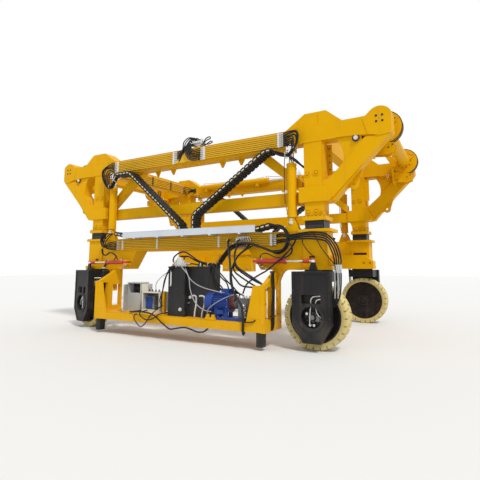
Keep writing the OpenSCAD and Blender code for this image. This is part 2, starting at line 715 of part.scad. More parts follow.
module upper_pipes() color(yellow) centred() upper_pipe_runs();
module hoist_cylinder() color(yellow) centred() hoist_ram();
module near_chains() color(black) centred() near() chain_pair();
module far_chains() color(black) centred() far() chain_pair();

// Oil tank in two parts on the sill, with its filler caps
module oil_tank() color(black) centred() near() {
    step_back = 120;
    block([tank_x, tank_y, deck_z], [tank_x + tank_front, tank_y + tank_d, deck_z + tank_h]);
    block([tank_x + tank_front - 1, tank_y + step_back, deck_z],
        [tank_x + tank_front + tank_rear, tank_y + tank_d, deck_z + tank_h]);
    for (x = [tank_front + 120, tank_front + tank_rear - 130])
        translate([tank_x + x, tank_y + tank_d - 130, deck_z + tank_h - 1]) cylinder(d = 110, h = 46);
}

// Electric motor: base, feet, finned body, fan cowl, terminal box and flange
module pump_motor() color("royalblue") centred() near() {
    cowl = 160;
    r = motor_d / 2 - 28;
    block([motor_x - 10, motor_y - 150, deck_z], [pump_end - 100, motor_y + 150, deck_z + base_h]);
    translate([0, motor_y, deck_z + motor_z]) {
        rod_x(motor_d, motor_x, motor_x + cowl);
        translate([motor_x + cowl - 1, 0, 0]) rotate([90, 0, 90]) linear_extrude(motor_len - cowl - 24) {
            circle(r = r);
            for (i = [0:27]) rotate(i * 360 / 28) translate([r - 2, -3]) square([22, 6]);
        }
        rod_x(motor_d + 20, motor_x + motor_len - 26, motor_x + motor_len);
        block([motor_x + 330, -70, r - 10], [motor_x + 500, 70, motor_d / 2 + 75]);
    }
    for (x = [motor_x + 200, motor_x + 420], y = [-120, 70])
        block([x, motor_y + y, deck_z + base_h - 1], [x + 80, motor_y + y + 50, deck_z + motor_z - 90]);
}

// Bell housing, pump, and the valve block beyond it
module pump_block() color("dimgray") centred() near() {
    x1 = motor_x + motor_len + 0.3;
    x2 = x1 + 140;
    translate([0, motor_y, deck_z + motor_z]) {
        rod_x(300, x1, x1 + 20);
        rod_x(230, x1 + 19, x2);
        rod_x(170, x2 - 1, x2 + 120);
    }
    block([x2 + 60, motor_y - 90, deck_z + base_h + 0.3], [pump_end, motor_y + 130, deck_z + 400]);
    for (z = [120, 210, 300]) translate([pump_end - 70, 0, deck_z + z])
        translate([0, motor_y, 0]) rod_y(64, -150, -80);
}

// Control cabinet: closed below, open above, with a small side box
module control_cabinet() color("lightgray") centred() near() {
    t = 15;
    top = deck_z + cab_h;
    difference() {
        block([cab_x, cab_y, deck_z], [cab_x + cab_w, cab_y + cab_d, top]);
        block([cab_x + t, cab_y - 1, deck_z + 430], [cab_x + cab_w - t, cab_y + cab_d - t, top - t]);
    }
    block([cab_x + cab_w - 1, cab_y + 40, top - 190], [cab_x + cab_w + 190, cab_y + 200, top - 20]);
}

// Door of the control cabinet, standing open on its hinge barrel
module cabinet_door() color("lightgray") centred() near()
    translate([cab_x + hinge_d / 2, cab_y - hinge_d / 2 - 0.3, deck_z + 30]) rotate([0, 0, -door_open]) {
        cylinder(d = hinge_d, h = cab_h - 60);
        block([0, hinge_d / 2 - 0.2 - 18, 0], [cab_w - hinge_d / 2, hinge_d / 2 - 0.2, cab_h - 60]);
    }

// Open electrical box with its switchgear
module electrical_box() color("white") centred() near() {
    x1 = cab_x + cab_w + 170;
    x2 = x1 + 530;
    y1 = cab_y - 120;
    difference() {
        block([x1, y1, deck_z], [x2, y1 + 300, deck_z + 480]);
        block([x1 + 25, y1 - 1, deck_z + 80], [x2 - 25, y1 + 275, deck_z + 455]);
    }
    block([x1 + 60, y1 + 90, deck_z + 79], [x1 + 250, y1 + 276, deck_z + 380]);
    block([x1 + 310, y1 + 130, deck_z + 150], [x2 - 60, y1 + 276, deck_z + 400]);
}

// Filter and valve on top of the tank
module filter_block() color(steel) centred() near() {
    z = deck_z + tank_h + 0.3;
    y = tank_y + 250;
    translate([tank_x + 110, y, z]) cylinder(d = 170, h = 40);
    translate([tank_x + 110, y, z + 39]) cylinder(d = 140, h = 150);
    block([tank_x + 172, y - 50, z], [tank_x + 300, y + 60, z + 90]);
}

// Tool box under the far lower beam
module far_tool_box() color(yellow) centred() far() block([-1500, -150, low_z - 550], [-400, 150, low_z]);

module fork_near_left() color(black) centred() at_corner(corner_nl) fork_body([[120, 175], [-15, 95], [-205, -95]]);
module fork_near_right() color(black) centred() at_corner(corner_nr) fork_body();
module fork_far_left() color(black) centred() at_corner(corner_fl) fork_body();
module fork_far_right() color(black) centred() at_corner(corner_fr) fork_body();
module rim_near_left() color("dimgray") centred() at_corner(corner_nl) rim_body();
module rim_near_right() color("dimgray") centred() at_corner(corner_nr) rim_body();
module rim_far_left() color("dimgray") centred() at_corner(corner_fl) rim_body();
module rim_far_right() color("dimgray") centred() at_corner(corner_fr) rim_body();
module tyre_near_left() color("khaki") centred() at_corner(corner_nl) tyre_body();
module tyre_near_right() color("khaki") centred() at_corner(corner_nr) tyre_body();
module tyre_far_left() color("khaki") centred() at_corner(corner_fl) tyre_body();
module tyre_far_right() color("khaki") centred() at_corner(corner_fr) tyre_body();
module steer_rod_near_left() color(steel) centred() steer_rod(corner_nl);
module steer_rod_near_right() color(steel) centred() steer_rod(corner_nr);
module steer_rod_far_left() color(steel) centred() steer_rod(corner_fl);
module steer_rod_far_right() color(steel) centred() steer_rod(corner_fr);

near_lower_frame();
near_inner_legs();
sill();
sill_feet();
near_cable_tray();
near_lower_pipes();
near_steer_barrels();
near_lift_barrels();
oil_tank();
pump_motor();
pump_block();
control_cabinet();
cabinet_door();
electrical_box();
filter_block();
far_lower_frame();
far_inner_legs();
far_cable_tray();
far_steer_barrels();
far_lift_barrels();
far_tool_box();
upper_columns();
top_beams();
mid_beams();
end_brackets();
end_tubes();
end_portals();
cross_beams();
upper_pipes();
hoist_cylinder();
lift_rods();
near_chains();
far_chains();
fork_near_left();
fork_near_right();
fork_far_left();
fork_far_right();
rim_near_left();
rim_near_right();
rim_far_left();
rim_far_right();
tyre_near_left();
tyre_near_right();
tyre_far_left();
tyre_far_right();
steer_rod_near_left();
steer_rod_near_right();
steer_rod_far_left();
steer_rod_far_right();
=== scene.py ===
import math

import bmesh
import bpy
from mathutils import Matrix, Vector


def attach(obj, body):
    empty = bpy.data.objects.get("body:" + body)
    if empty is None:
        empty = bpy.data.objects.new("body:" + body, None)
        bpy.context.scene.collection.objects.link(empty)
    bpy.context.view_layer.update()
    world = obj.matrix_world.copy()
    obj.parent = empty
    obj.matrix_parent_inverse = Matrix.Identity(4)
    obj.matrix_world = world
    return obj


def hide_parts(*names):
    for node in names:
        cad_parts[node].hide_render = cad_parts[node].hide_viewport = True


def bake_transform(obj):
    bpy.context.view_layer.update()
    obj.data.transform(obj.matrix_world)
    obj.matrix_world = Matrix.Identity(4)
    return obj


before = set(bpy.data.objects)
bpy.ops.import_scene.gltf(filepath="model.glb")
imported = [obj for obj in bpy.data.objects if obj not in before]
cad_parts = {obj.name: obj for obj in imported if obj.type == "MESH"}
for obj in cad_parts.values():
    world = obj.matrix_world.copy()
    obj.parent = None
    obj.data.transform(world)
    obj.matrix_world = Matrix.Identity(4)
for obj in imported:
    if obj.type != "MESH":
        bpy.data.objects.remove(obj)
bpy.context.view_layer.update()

# Camera
# It stands outside the right near corner of the machine, at about eye height, and looks up a little.
# Its lens and its small downward shift frame the machine as the photograph does.
camera = bpy.data.objects.new("camera", bpy.data.cameras.new("camera"))
camera.location = (5.582, -9.451, 1.567)
camera.rotation_euler = [math.radians(a) for a in (97.568, 0, 29.274)]
camera.data.sensor_width = 36
camera.data.lens = 29.56
camera.data.shift_y = -0.0542
bpy.context.scene.collection.objects.link(camera)
bpy.context.scene.camera = camera

# Floor and light
# A pale studio floor, faintly mottled, with a white surround.
# One soft sun stands high up on the right.
floor_mesh = bpy.data.meshes.new("floor")
floor_mesh.from_pydata([(-60, -60, 0), (60, -60, 0), (60, 60, 0), (-60, 60, 0)], [], [(0, 1, 2, 3)])
floor = bpy.data.objects.new("floor", floor_mesh)
bpy.context.scene.collection.objects.link(floor)
floor_paint = bpy.data.materials.new("studio_floor")
floor_paint.use_nodes = True
nodes, links = floor_paint.node_tree.nodes, floor_paint.node_tree.links
floor_shader = nodes["Principled BSDF"]
floor_shader.inputs["Roughness"].default_value = 0.9
floor_shader.inputs["Specular IOR Level"].default_value = 0.1
mottle = nodes.new("ShaderNodeTexNoise")
mottle.inputs["Scale"].default_value = 0.7
mottle.inputs["Detail"].default_value = 6
tone = nodes.new("ShaderNodeValToRGB")
tone.color_ramp.elements[0].color = (0.72, 0.715, 0.70, 1)
tone.color_ramp.elements[1].color = (0.82, 0.815, 0.80, 1)
links.new(mottle.outputs["Fac"], tone.inputs["Fac"])
links.new(tone.outputs["Color"], floor_shader.inputs["Base Color"])
floor_mesh.materials.append(floor_paint)

world = bpy.data.worlds.new("surround")
world.use_nodes = True
bpy.context.scene.world = world
nodes, links = world.node_tree.nodes, world.node_tree.links
ambient = nodes["Background"]
ambient.inputs["Color"].default_value = (0.93, 0.96, 1, 1)
ambient.inputs["Strength"].default_value = 0.8
backdrop = nodes.new("ShaderNodeBackground")
backdrop.inputs["Color"].default_value = (1, 1, 1, 1)
path = nodes.new("ShaderNodeLightPath")
seen = nodes.new("ShaderNodeMath")
seen.operation = "MAXIMUM"
through = nodes.new("ShaderNodeMath")
through.operation = "MAXIMUM"
surround = nodes.new("ShaderNodeMixShader")
links.new(path.outputs["Is Camera Ray"], seen.inputs[0])
links.new(path.outputs["Is Glossy Ray"], seen.inputs[1])
links.new(seen.outputs[0], through.inputs[0])
links.new(path.outputs["Is Transmission Ray"], through.inputs[1])
links.new(through.outputs[0], surround.inputs["Fac"])
links.new(ambient.outputs[0], surround.inputs[1])
links.new(backdrop.outputs[0], surround.inputs[2])
links.new(surround.outputs[0], nodes["World Output"].inputs["Surface"])

sun = bpy.data.objects.new("sun", bpy.data.lights.new("sun", "SUN"))
sun.data.energy = 1.9
sun.data.angle = math.radians(9)
sun.data.color = (1, 0.965, 0.91)
sun.rotation_euler = Vector((0.62, -0.40, 0.95)).to_track_quat("Z", "Y").to_euler()
bpy.context.scene.collection.objects.link(sun)
bpy.context.scene.view_settings.view_transform = "Standard"

# Lower frames
# Welded box beams with haunches, leg shoes and sockets, one on each side, in thick yellow enamel.
# Fillet welds run along the box corners, and rings of bolts hold the socket flanges.
near_y, far_y, leg_x = -1.79, 2.13, 3.08
upward, outward, endward = (0, 0, 1), (0, -1, 0), (1, 0, 0)
# Pieces are drawn on the near side, to the right, and the places called far and left mirror them.
near = Matrix.Translation((0, near_y, 0))
far = Matrix.Translation((0, far_y, 0)) @ Matrix.Diagonal((1, -1, 1, 1))
left = Matrix.Diagonal((-1, 1, 1, 1))
sides = {"near": (near, "lower_near"), "far": (far, "lower_far")}


class Piece:
    """Gathers the plates, bolts, welds and hoses of one piece, in metres, at one or more places."""

    def __init__(self, *places):
        self.places = places or (Matrix(),)
        self.points, self.faces = [], []

    def loft(self, rings, closed=False):
        n, count = len(rings[0]), len(rings)
        faces = [(a * n + i, a * n + (i + 1) % n, (a + 1) % count * n + (i + 1) % n, (a + 1) % count * n + i)
                 for a in range(count if closed else count - 1) for i in range(n)]
        if not closed:
            faces += [tuple(range(n)), tuple((count - 1) * n + i for i in range(n))]
        for place in self.places:
            first = len(self.points)
            self.points += [place @ Vector(p) for ring in rings for p in ring]
            self.faces += [[first + i for i in face] for face in faces]

    def block(self, low, high):
        (x1, y1, z1), (x2, y2, z2) = low, high
        self.loft([[(x1, y1, z), (x2, y1, z), (x2, y2, z), (x1, y2, z)] for z in (z1, z2)])

    def plate(self, outline, y1, y2):
        self.loft([[(x, y, z) for x, z in outline] for y in (y1, y2)])

    def turned(self, at, along, profile, steps=20):
        turn = Vector(along).to_track_quat("Z", "Y").to_matrix()
        self.loft([[Vector(at) + turn @ Vector((r * math.cos(a), r * math.sin(a), h))
                    for a in (math.tau * i / steps for i in range(steps))] for h, r in profile])

    def drum(self, at, along, radius, height, steps=6):
        self.turned(at, along, [(0, radius), (height, radius)], steps)

    def rod(self, start, end, radius, steps=14):
        length = (Vector(end) - Vector(start)).length
        edge = min(radius * 0.2, length * 0.2)
        profile = [(0, radius - edge), (edge, radius), (length - edge, radius), (length, radius - edge)]
        self.turned(start, Vector(end) - Vector(start), profile, steps)

    def ring(self, at, along, outer, inner, height, steps=28):
        turn = Vector(along).to_track_quat("Z", "Y").to_matrix()
        section = ((inner, 0), (outer, 0), (outer, height * 0.75), (outer - height * 0.25, height),
                   (inner, height))
        self.loft([[Vector(at) + turn @ Vector((r * math.cos(a), r * math.sin(a), h)) for r, h in section]
                   for a in (math.tau * i / steps for i in range(steps))], closed=True)

    def bolt(self, at, along, size=0.015):
        self.drum(at, along, size * 1.25, size * 0.25, 10)
        self.turned(at, along, [(size * 0.25, size), (size * 0.85, size), (size * 0.95, size * 0.8)], 6)

    def bolt_ring(self, at, along, radius, count, size=0.015, start=0.0):
        turn = Vector(along).to_track_quat("Z", "Y").to_matrix()
        for i in range(count):
            a = start + math.tau * i / count
            spot = Vector(at) + turn @ Vector((radius * math.cos(a), radius * math.sin(a), 0))
            self.bolt(spot, along, size)

    def tube(self, route, radius, steps=8):
        forward = [(Vector(route[min(i + 1, len(route) - 1)]) - Vector(route[max(i - 1, 0)])).normalized()
                   for i in range(len(route))]
        across = forward[0].orthogonal().normalized()
        rings = []
        for i, point in enumerate(route):
            if i:
                across = forward[i - 1].rotation_difference(forward[i]) @ across
            up = forward[i].cross(across)
            r = radius[i] if isinstance(radius, list) else radius
            rings.append([Vector(point) + r * (math.cos(a) * across + math.sin(a) * up)
                          for a in (math.tau * k / steps for k in range(steps))])
        self.loft(rings)

    def hose(self, *points, radius=0.018, steps=8):
        points = [Vector(p) for p in points]
        points = [2 * points[0] - points[1]] + points + [2 * points[-1] - points[-2]]
        route = []
        for a, b, c, d in zip(points, points[1:], points[2:], points[3:]):
            pieces = max(2, int((c - b).length / 0.04))
            for k in range(pieces):
                t = k / pieces
                route.append(0.5 * (2 * b + (c - a) * t + (2 * a - 5 * b + 4 * c - d) * t * t
                                    + (3 * b - a - 3 * c + d) * t ** 3))
        route.append(points[-2])
        self.tube(route, radius, steps)
        return route

    def weld(self, *route, radius=0.006):
        fine = []
        for a, b in zip(route, route[1:]):
            a, b = Vector(a), Vector(b)
            count = max(1, int((b - a).length / 0.03))
            fine += [a.lerp(b, k / count) for k in range(count)]
        fine.append(Vector(route[-1]))
        self.tube(fine, [radius * (1.0 if i % 2 else 0.75) for i in range(len(fine))], 5)

    def finish(self, name, body, material, slot, bevel=0.0, blend=None):
        mesh = bpy.data.meshes.new(name)
        mesh.from_pydata(self.points, [], self.faces)
        work = bmesh.new()
        work.from_mesh(mesh)
        bmesh.ops.recalc_face_normals(work, faces=work.faces)
        work.to_mesh(mesh)
        work.free()
        mesh.shade_smooth()
        mesh.set_sharp_from_angle(angle=math.radians(38))
        mesh.materials.append(material)
        piece = bpy.data.objects.new(name, mesh)
        bpy.context.scene.collection.objects.link(piece)
        if bevel:
            round_off = piece.modifiers.new("edges", "BEVEL")
            round_off.width, round_off.segments, round_off.limit_method = bevel, 2, "ANGLE"
        if blend:
            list(body)
            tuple(blend[0])
            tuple(blend[1])
            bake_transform(piece)
        else:
            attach(piece, body)
        return piece


def node_group(name, takes, gives):
    group = bpy.data.node_groups.new(name, "ShaderNodeTree")
    for label, kind, value in takes:
        socket = group.interface.new_socket(label, in_out="INPUT", socket_type="NodeSocket" + kind)
        if value is not None:
            socket.default_value = value
    for label, kind in gives:
        group.interface.new_socket(label, in_out="OUTPUT", socket_type="NodeSocket" + kind)
    return group, group.nodes.new("NodeGroupInput"), group.nodes.new("NodeGroupOutput")


def maths(tree, operation, a, b=None, clamp=False):
    node = tree.nodes.new("ShaderNodeMath")
    node.operation, node.use_clamp = operation, clamp
    for socket, value in zip(node.inputs, (a, b)):
        if isinstance(value, (int, float)):
            socket.default_value = value
        elif value is not None:
            tree.links.new(value, socket)
    return node.outputs[0]


def mixed(tree, factor, a, b, kind="MIX"):
    node = tree.nodes.new("ShaderNodeMix")
    node.data_type, node.blend_type = "RGBA", kind
    for socket, value in zip((node.inputs[0], node.inputs[6], node.inputs[7]), (factor, a, b)):
        if isinstance(value, (int, float, tuple)):
            socket.default_value = value
        else:
            tree.links.new(value, socket)
    return node.outputs[2]


def noise(tree, coordinates, scale, detail=4, stretch=None):
    if stretch:
        mapping = tree.nodes.new("ShaderNodeMapping")
        mapping.inputs["Scale"].default_value = stretch
        tree.links.new(coordinates, mapping.inputs["Vector"])
        coordinates = mapping.outputs[0]
    node = tree.nodes.new("ShaderNodeTexNoise")
    node.inputs["Detail"].default_value = detail
    tree.links.new(coordinates, node.inputs["Vector"])
    if isinstance(scale, (int, float)):
        node.inputs["Scale"].default_value = scale
    else:
        tree.links.new(scale, node.inputs["Scale"])
    return node.outputs["Fac"]


def ramp(tree, value, low, high):
    node = tree.nodes.new("ShaderNodeMapRange")
    node.interpolation_type = "SMOOTHSTEP"
    node.inputs["From Min"].default_value, node.inputs["From Max"].default_value = low, high
    tree.links.new(value, node.inputs["Value"])
    return node.outputs[0]


# Weather: soft blotches, dust on upward faces and near the ground, and thin runs of dirt down the walls.
weather, taken, given = node_group("weather", [("Color", "Color", (0.5, 0.5, 0.5, 1)),
                                               ("Dust Color", "Color", (0.42, 0.36, 0.28, 1)),
                                               ("Roughness", "Float", 0.4), ("Blotch", "Float", 0.2),
                                               ("Dust", "Float", 0.3), ("Runs", "Float", 0.2)],
                                   [("Color", "Color"), ("Roughness", "Float"), ("Height", "Float")])
place = weather.nodes.new("ShaderNodeTexCoord").outputs["Object"]
facing = weather.nodes.new("ShaderNodeNewGeometry")
split = weather.nodes.new("ShaderNodeSeparateXYZ")
weather.links.new(facing.outputs["Normal"], split.inputs[0])
height = weather.nodes.new("ShaderNodeSeparateXYZ")
weather.links.new(place, height.inputs[0])
blotch = noise(weather, place, 2.3, 6)
fine = noise(weather, place, 34, 5)
runs = noise(weather, place, 9, 3, (1, 1, 0.07))
shade = maths(weather, "MULTIPLY", maths(weather, "SUBTRACT", blotch, 0.5), taken.outputs["Blotch"])
shade = maths(weather, "ADD", 1.0, shade)
combined = weather.nodes.new("ShaderNodeCombineColor")
for socket in combined.inputs:
    weather.links.new(shade, socket)
base = mixed(weather, 1.0, taken.outputs["Color"], combined.outputs[0], "MULTIPLY")
up = ramp(weather, split.outputs["Z"], 0.35, 1.0)
low_down = maths(weather, "MULTIPLY", ramp(weather, height.outputs["Z"], 1.5, 0.0), 0.75)
settled = maths(weather, "MAXIMUM", up, low_down)
settled = maths(weather, "MULTIPLY", settled, ramp(weather, blotch, 0.35, 0.75))
settled = maths(weather, "MULTIPLY", settled, taken.outputs["Dust"], clamp=True)
wall = maths(weather, "SUBTRACT", 1.0, maths(weather, "ABSOLUTE", split.outputs["Z"]))
streak = maths(weather, "MULTIPLY", maths(weather, "MULTIPLY", ramp(weather, runs, 0.56, 0.74), wall),
               taken.outputs["Runs"], clamp=True)
base = mixed(weather, streak, base, (0.16, 0.10, 0.045, 1))
base = mixed(weather, settled, base, taken.outputs["Dust Color"])
rough = maths(weather, "ADD", taken.outputs["Roughness"], maths(weather, "MULTIPLY", settled, 0.5))
grit = maths(weather, "MULTIPLY", maths(weather, "SUBTRACT", fine, 0.5), 0.16)
rough = maths(weather, "ADD", rough, grit, clamp=True)
weather.links.new(base, given.inputs["Color"])
weather.links.new(rough, given.inputs["Roughness"])
weather.links.new(fine, given.inputs["Height"])

# Wear: where the coat has rubbed through along sharp edges.
wear, taken, given = node_group("edge_wear", [("Color", "Color", (0.5, 0.5, 0.5, 1)),
                                              ("Bare Color", "Color", (0.3, 0.3, 0.3, 1)),
                                              ("Amount", "Float", 0.5)],
                                [("Color", "Color"), ("Mask", "Float")])
soft_edge = wear.nodes.new("ShaderNodeBevel")
soft_edge.samples = 4
soft_edge.inputs["Radius"].default_value = 0.012
sharp = wear.nodes.new("ShaderNodeNewGeometry")
compare = wear.nodes.new("ShaderNodeVectorMath")
compare.operation = "DOT_PRODUCT"
wear.links.new(soft_edge.outputs[0], compare.inputs[0])
wear.links.new(sharp.outputs["Normal"], compare.inputs[1])
edge = ramp(wear, compare.outputs["Value"], 0.995, 0.90)
patch = noise(wear, wear.nodes.new("ShaderNodeTexCoord").outputs["Object"], 11, 6)
edge = maths(wear, "MULTIPLY", edge, ramp(wear, patch, 0.5, 0.64))
edge = maths(wear, "MULTIPLY", edge, taken.outputs["Amount"], clamp=True)
wear.links.new(mixed(wear, edge, taken.outputs["Color"], taken.outputs["Bare Color"]), given.inputs["Color"])
wear.links.new(edge, given.inputs["Mask"])


def coat(name, color, roughness, dust=0.3, blotch=0.25, runs=0.15, worn=0.4, bare=(0.25, 0.24, 0.23, 1),
         metallic=0.0, gloss=0.0, grain=0.0, dusty=(0.42, 0.36, 0.28, 1), sheen=0.5):
    """A finish: its colour goes through the wear and weather groups, and constants sit on the shader."""
    material = bpy.data.materials.new(name)
    material.use_nodes = True
    tree = material.node_tree
    shader = tree.nodes["Principled BSDF"]
    worn_node = tree.nodes.new("ShaderNodeGroup")
    worn_node.node_tree = wear
    worn_node.inputs["Color"].default_value = (*color, 1)
    worn_node.inputs["Bare Color"].default_value = bare
    worn_node.inputs["Amount"].default_value = worn
    weather_node = tree.nodes.new("ShaderNodeGroup")
    weather_node.node_tree = weather
    for label, value in (("Dust Color", dusty), ("Roughness", roughness), ("Blotch", blotch),
                         ("Dust", dust), ("Runs", runs)):
        weather_node.inputs[label].default_value = value
    tree.links.new(worn_node.outputs["Color"], weather_node.inputs["Color"])
    tree.links.new(weather_node.outputs["Color"], shader.inputs["Base Color"])
    tree.links.new(weather_node.outputs["Roughness"], shader.inputs["Roughness"])
    shader.inputs["Metallic"].default_value = metallic
    shader.inputs["Specular IOR Level"].default_value = sheen
    shader.inputs["Coat Weight"].default_value = gloss
    shader.inputs["Coat Roughness"].default_value = 0.25
    if grain:
        bump = tree.nodes.new("ShaderNodeBump")
        bump.inputs["Strength"].default_value = grain
        bump.inputs["Distance"].default_value = 0.004
        tree.links.new(weather_node.outputs["Height"], bump.inputs["Height"])
        tree.links.new(bump.outputs[0], shader.inputs["Normal"])
    return material


def paint_node(name, material):
    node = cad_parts[name]
    for i in range(len(node.material_slots)):
        node.material_slots[i].link = "OBJECT"
        node.material_slots[i].material = material


yellow = coat("yellow_enamel", (0.74, 0.38, 0.0005), 0.45, dust=0.10, blotch=0.16, runs=0.10, worn=0.35,
              bare=(0.30, 0.13, 0.02, 1), gloss=0.0, sheen=0.07)
pipe_yellow = coat("pipe_yellow", (0.72, 0.42, 0.022), 0.35, dust=0.15, blotch=0.1, worn=0.2, sheen=0.2)
black_hose = coat("hose_rubber", (0.010, 0.010, 0.011), 0.5, dust=0.05, worn=0.0, sheen=0.3)
zinc = coat("zinc_fittings", (0.66, 0.66, 0.65), 0.30, metallic=0.85, dust=0.1, worn=0.0)
dark = coat("dark_iron", (0.020, 0.020, 0.021), 0.55, dust=0.15, worn=0.1)
for name in ("near_lower_frame", "far_lower_frame"):
    paint_node(name, yellow)

for side, (place, body) in sides.items():
    ends = (place, place @ left)
    frame_bolts = Piece(*ends)
    for z in (2.24, 1.58):
        for x in (2.775, 3.385):
            for y in (-0.17, -0.06, 0.06, 0.17):
                frame_bolts.bolt((x, y, z), upward, 0.016)
    for x in (2.80, 2.88, 2.97, 3.07, 3.17, 3.27, 3.36):
        frame_bolts.bolt((x, -0.225, 2.30), upward, 0.014)
    frame_bolts.finish(side + "_socket_bolts", body, dark, "valve_steel")
    seams = Piece(*ends)
    for y in (-0.192, 0.192):
        seams.weld((0.02, y, 1.95), (2.0, y, 1.95))
        seams.weld((0.02, y, 2.268), (2.80, y, 2.268))
    seams.weld((2.0, -0.192, 1.965), (2.0, -0.192, 2.265))
    seams.weld((1.6, -0.192, 1.95), (1.9, -0.192, 1.50), (2.82, -0.192, 1.50))
    for x in (2.83, 3.33):
        seams.weld((x, -0.212, 1.60), (x, -0.212, 2.24), radius=0.007)
    seams.finish(side + "_frame_welds", body, yellow, "yellow_paint")

# Inner legs
# Square steel tubes that stand in the sockets and slide in the upper columns, black with old grease.
# Bolted pads sit on two of their faces, just above the sockets.
greased = coat("greased_steel", (0.013, 0.012, 0.011), 0.42, dust=0.12, sheen=0.3, worn=0.15,
               bare=(0.2, 0.19, 0.18, 1), grain=0.25)
pad_face = 0.202592
for side, (place, body) in sides.items():
    paint_node(side + "_inner_legs", greased)
    pads = Piece(place, place @ left)
    for out in (-1, 1):
        pads.block((2.91, out * 0.1948, 2.315), (3.25, out * pad_face, 2.375))
        for x in (2.95, 3.04, 3.12, 3.21):
            pads.bolt((x, out * pad_face, 2.345), (0, out, 0), 0.011)
    pads.finish(side + "_leg_pads", body, dark, "greased_leg")

# Energy chains
# Plastic link chains that carry the hoses from the tray up to the top beam in a V, one pair on each side.
# Each link is two side plates with a pale snap strip, joined by cross bars above and below the hoses.
chain_black = coat("chain_plastic", (0.011, 0.011, 0.012), 0.5, dust=0.10, worn=0.1, sheen=0.3)
chain_strip = coat("chain_strip", (0.62, 0.56, 0.36), 0.5, dust=0.2, worn=0.0)
chain_out, chain_in, chain_low, chain_high, link_pitch = -0.40, -0.12, 2.281, 3.9697, 0.116
hose_lanes = [chain_out + 0.05 + i * 0.046 for i in range(5)]


def pieces(count, *places):
    return [Piece(*places) for _ in range(count)]


def rounded(points, radius, steps=8):
    route = [Vector(points[0])]
    for a, b, c in zip(points, points[1:], points[2:]):
        a, b, c = Vector(a), Vector(b), Vector(c)
        back, on = (a - b).normalized(), (c - b).normalized()
        half = back.angle(on) / 2
        middle = b + (back + on).normalized() * radius / math.sin(half)
        u, v = (b + back * radius / math.tan(half) - middle), (b + on * radius / math.tan(half) - middle)
        turn = math.pi - 2 * half
        for t in (turn * k / steps for k in range(steps + 1)):
            route.append(middle + (u * math.sin(turn - t) + v * math.sin(t)) / math.sin(turn))
    return route + [Vector(points[-1])]


def along(route, pitch, first=0.0):
    """Points and directions at even steps along a route."""
    found, travelled, goal = [], 0.0, first
    for a, b in zip(route, route[1:]):
        length = (b - a).length
        while goal <= travelled + length:
            found.append((a.lerp(b, (goal - travelled) / length), (b - a).normalized()))
            goal += pitch
        travelled += length
    return found


chain_routes = [rounded([(-0.107, 0, chain_low), (-0.107, 0, chain_low + 0.24), (-1.79, 0, chain_high),
                         (-2.20, 0, chain_high)], 0.22),
                rounded([(0.267, 0, chain_low), (0.267, 0, chain_low + 0.46), (2.09, 0, chain_high),
                         (2.27, 0, chain_high)], 0.22)]


def chain_link(links, strips, middle, ahead):
    across = Vector((-ahead.z, 0, ahead.x))

    def oblong(u, v, long, wide):
        return ((u - long, v - wide), (u + long, v - wide), (u + long, v + wide), (u - long, v + wide))

    def bar(piece, outline, y1, y2):
        corners = [middle + ahead * u + across * v for u, v in outline]
        piece.plate([(p.x, p.z) for p in corners], y1, y2)

    side_form = ((-0.056, -0.028), (-0.036, -0.049), (0.036, -0.049), (0.056, -0.028),
                 (0.056, 0.028), (0.036, 0.049), (-0.036, 0.049), (-0.056, 0.028))
    bar(links, side_form, chain_out, chain_out + 0.016)
    bar(links, side_form, chain_in - 0.016, chain_in)
    tongue = ((0.03, -0.03), (0.082, -0.022), (0.082, 0.022), (0.03, 0.03))
    bar(links, tongue, chain_out + 0.012, chain_out + 0.026)
    for v in (-0.043, 0.043):
        for u in (-0.028, 0.028):
            bar(links, oblong(u, v, 0.014, 0.006), chain_out + 0.012, chain_in - 0.012)
    bar(strips, oblong(0, 0, 0.036, 0.013), chain_out - 0.003, chain_out + 0.002)


chain_bodies = {"near": ("lower_near", "upper_frame"), "far": ("upper_frame", "lower_far")}
for side, (place, _) in sides.items():
    links, strips, inside = pieces(3, place)
    for route in chain_routes:
        for middle, ahead in along(route, link_pitch, 0.05):
            chain_link(links, strips, middle, ahead)
        for y in hose_lanes:
            inside.tube([(p.x, y, p.z) for p in route], 0.019, 6)
    span = [place @ Vector((0, -0.26, z)) for z in (chain_low + 0.02, chain_high)]
    if side == "far":
        span.reverse()
    chain = links.finish(side + "_chain_links", chain_bodies[side], chain_black, "chain_plastic", blend=span)
    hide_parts(side + "_chains")
    strips.finish(side + "_chain_strips", chain_bodies[side], chain_strip, "chain_plastic", blend=span)
    inside.finish(side + "_chain_hoses", chain_bodies[side], black_hose, "chain_plastic", blend=span)

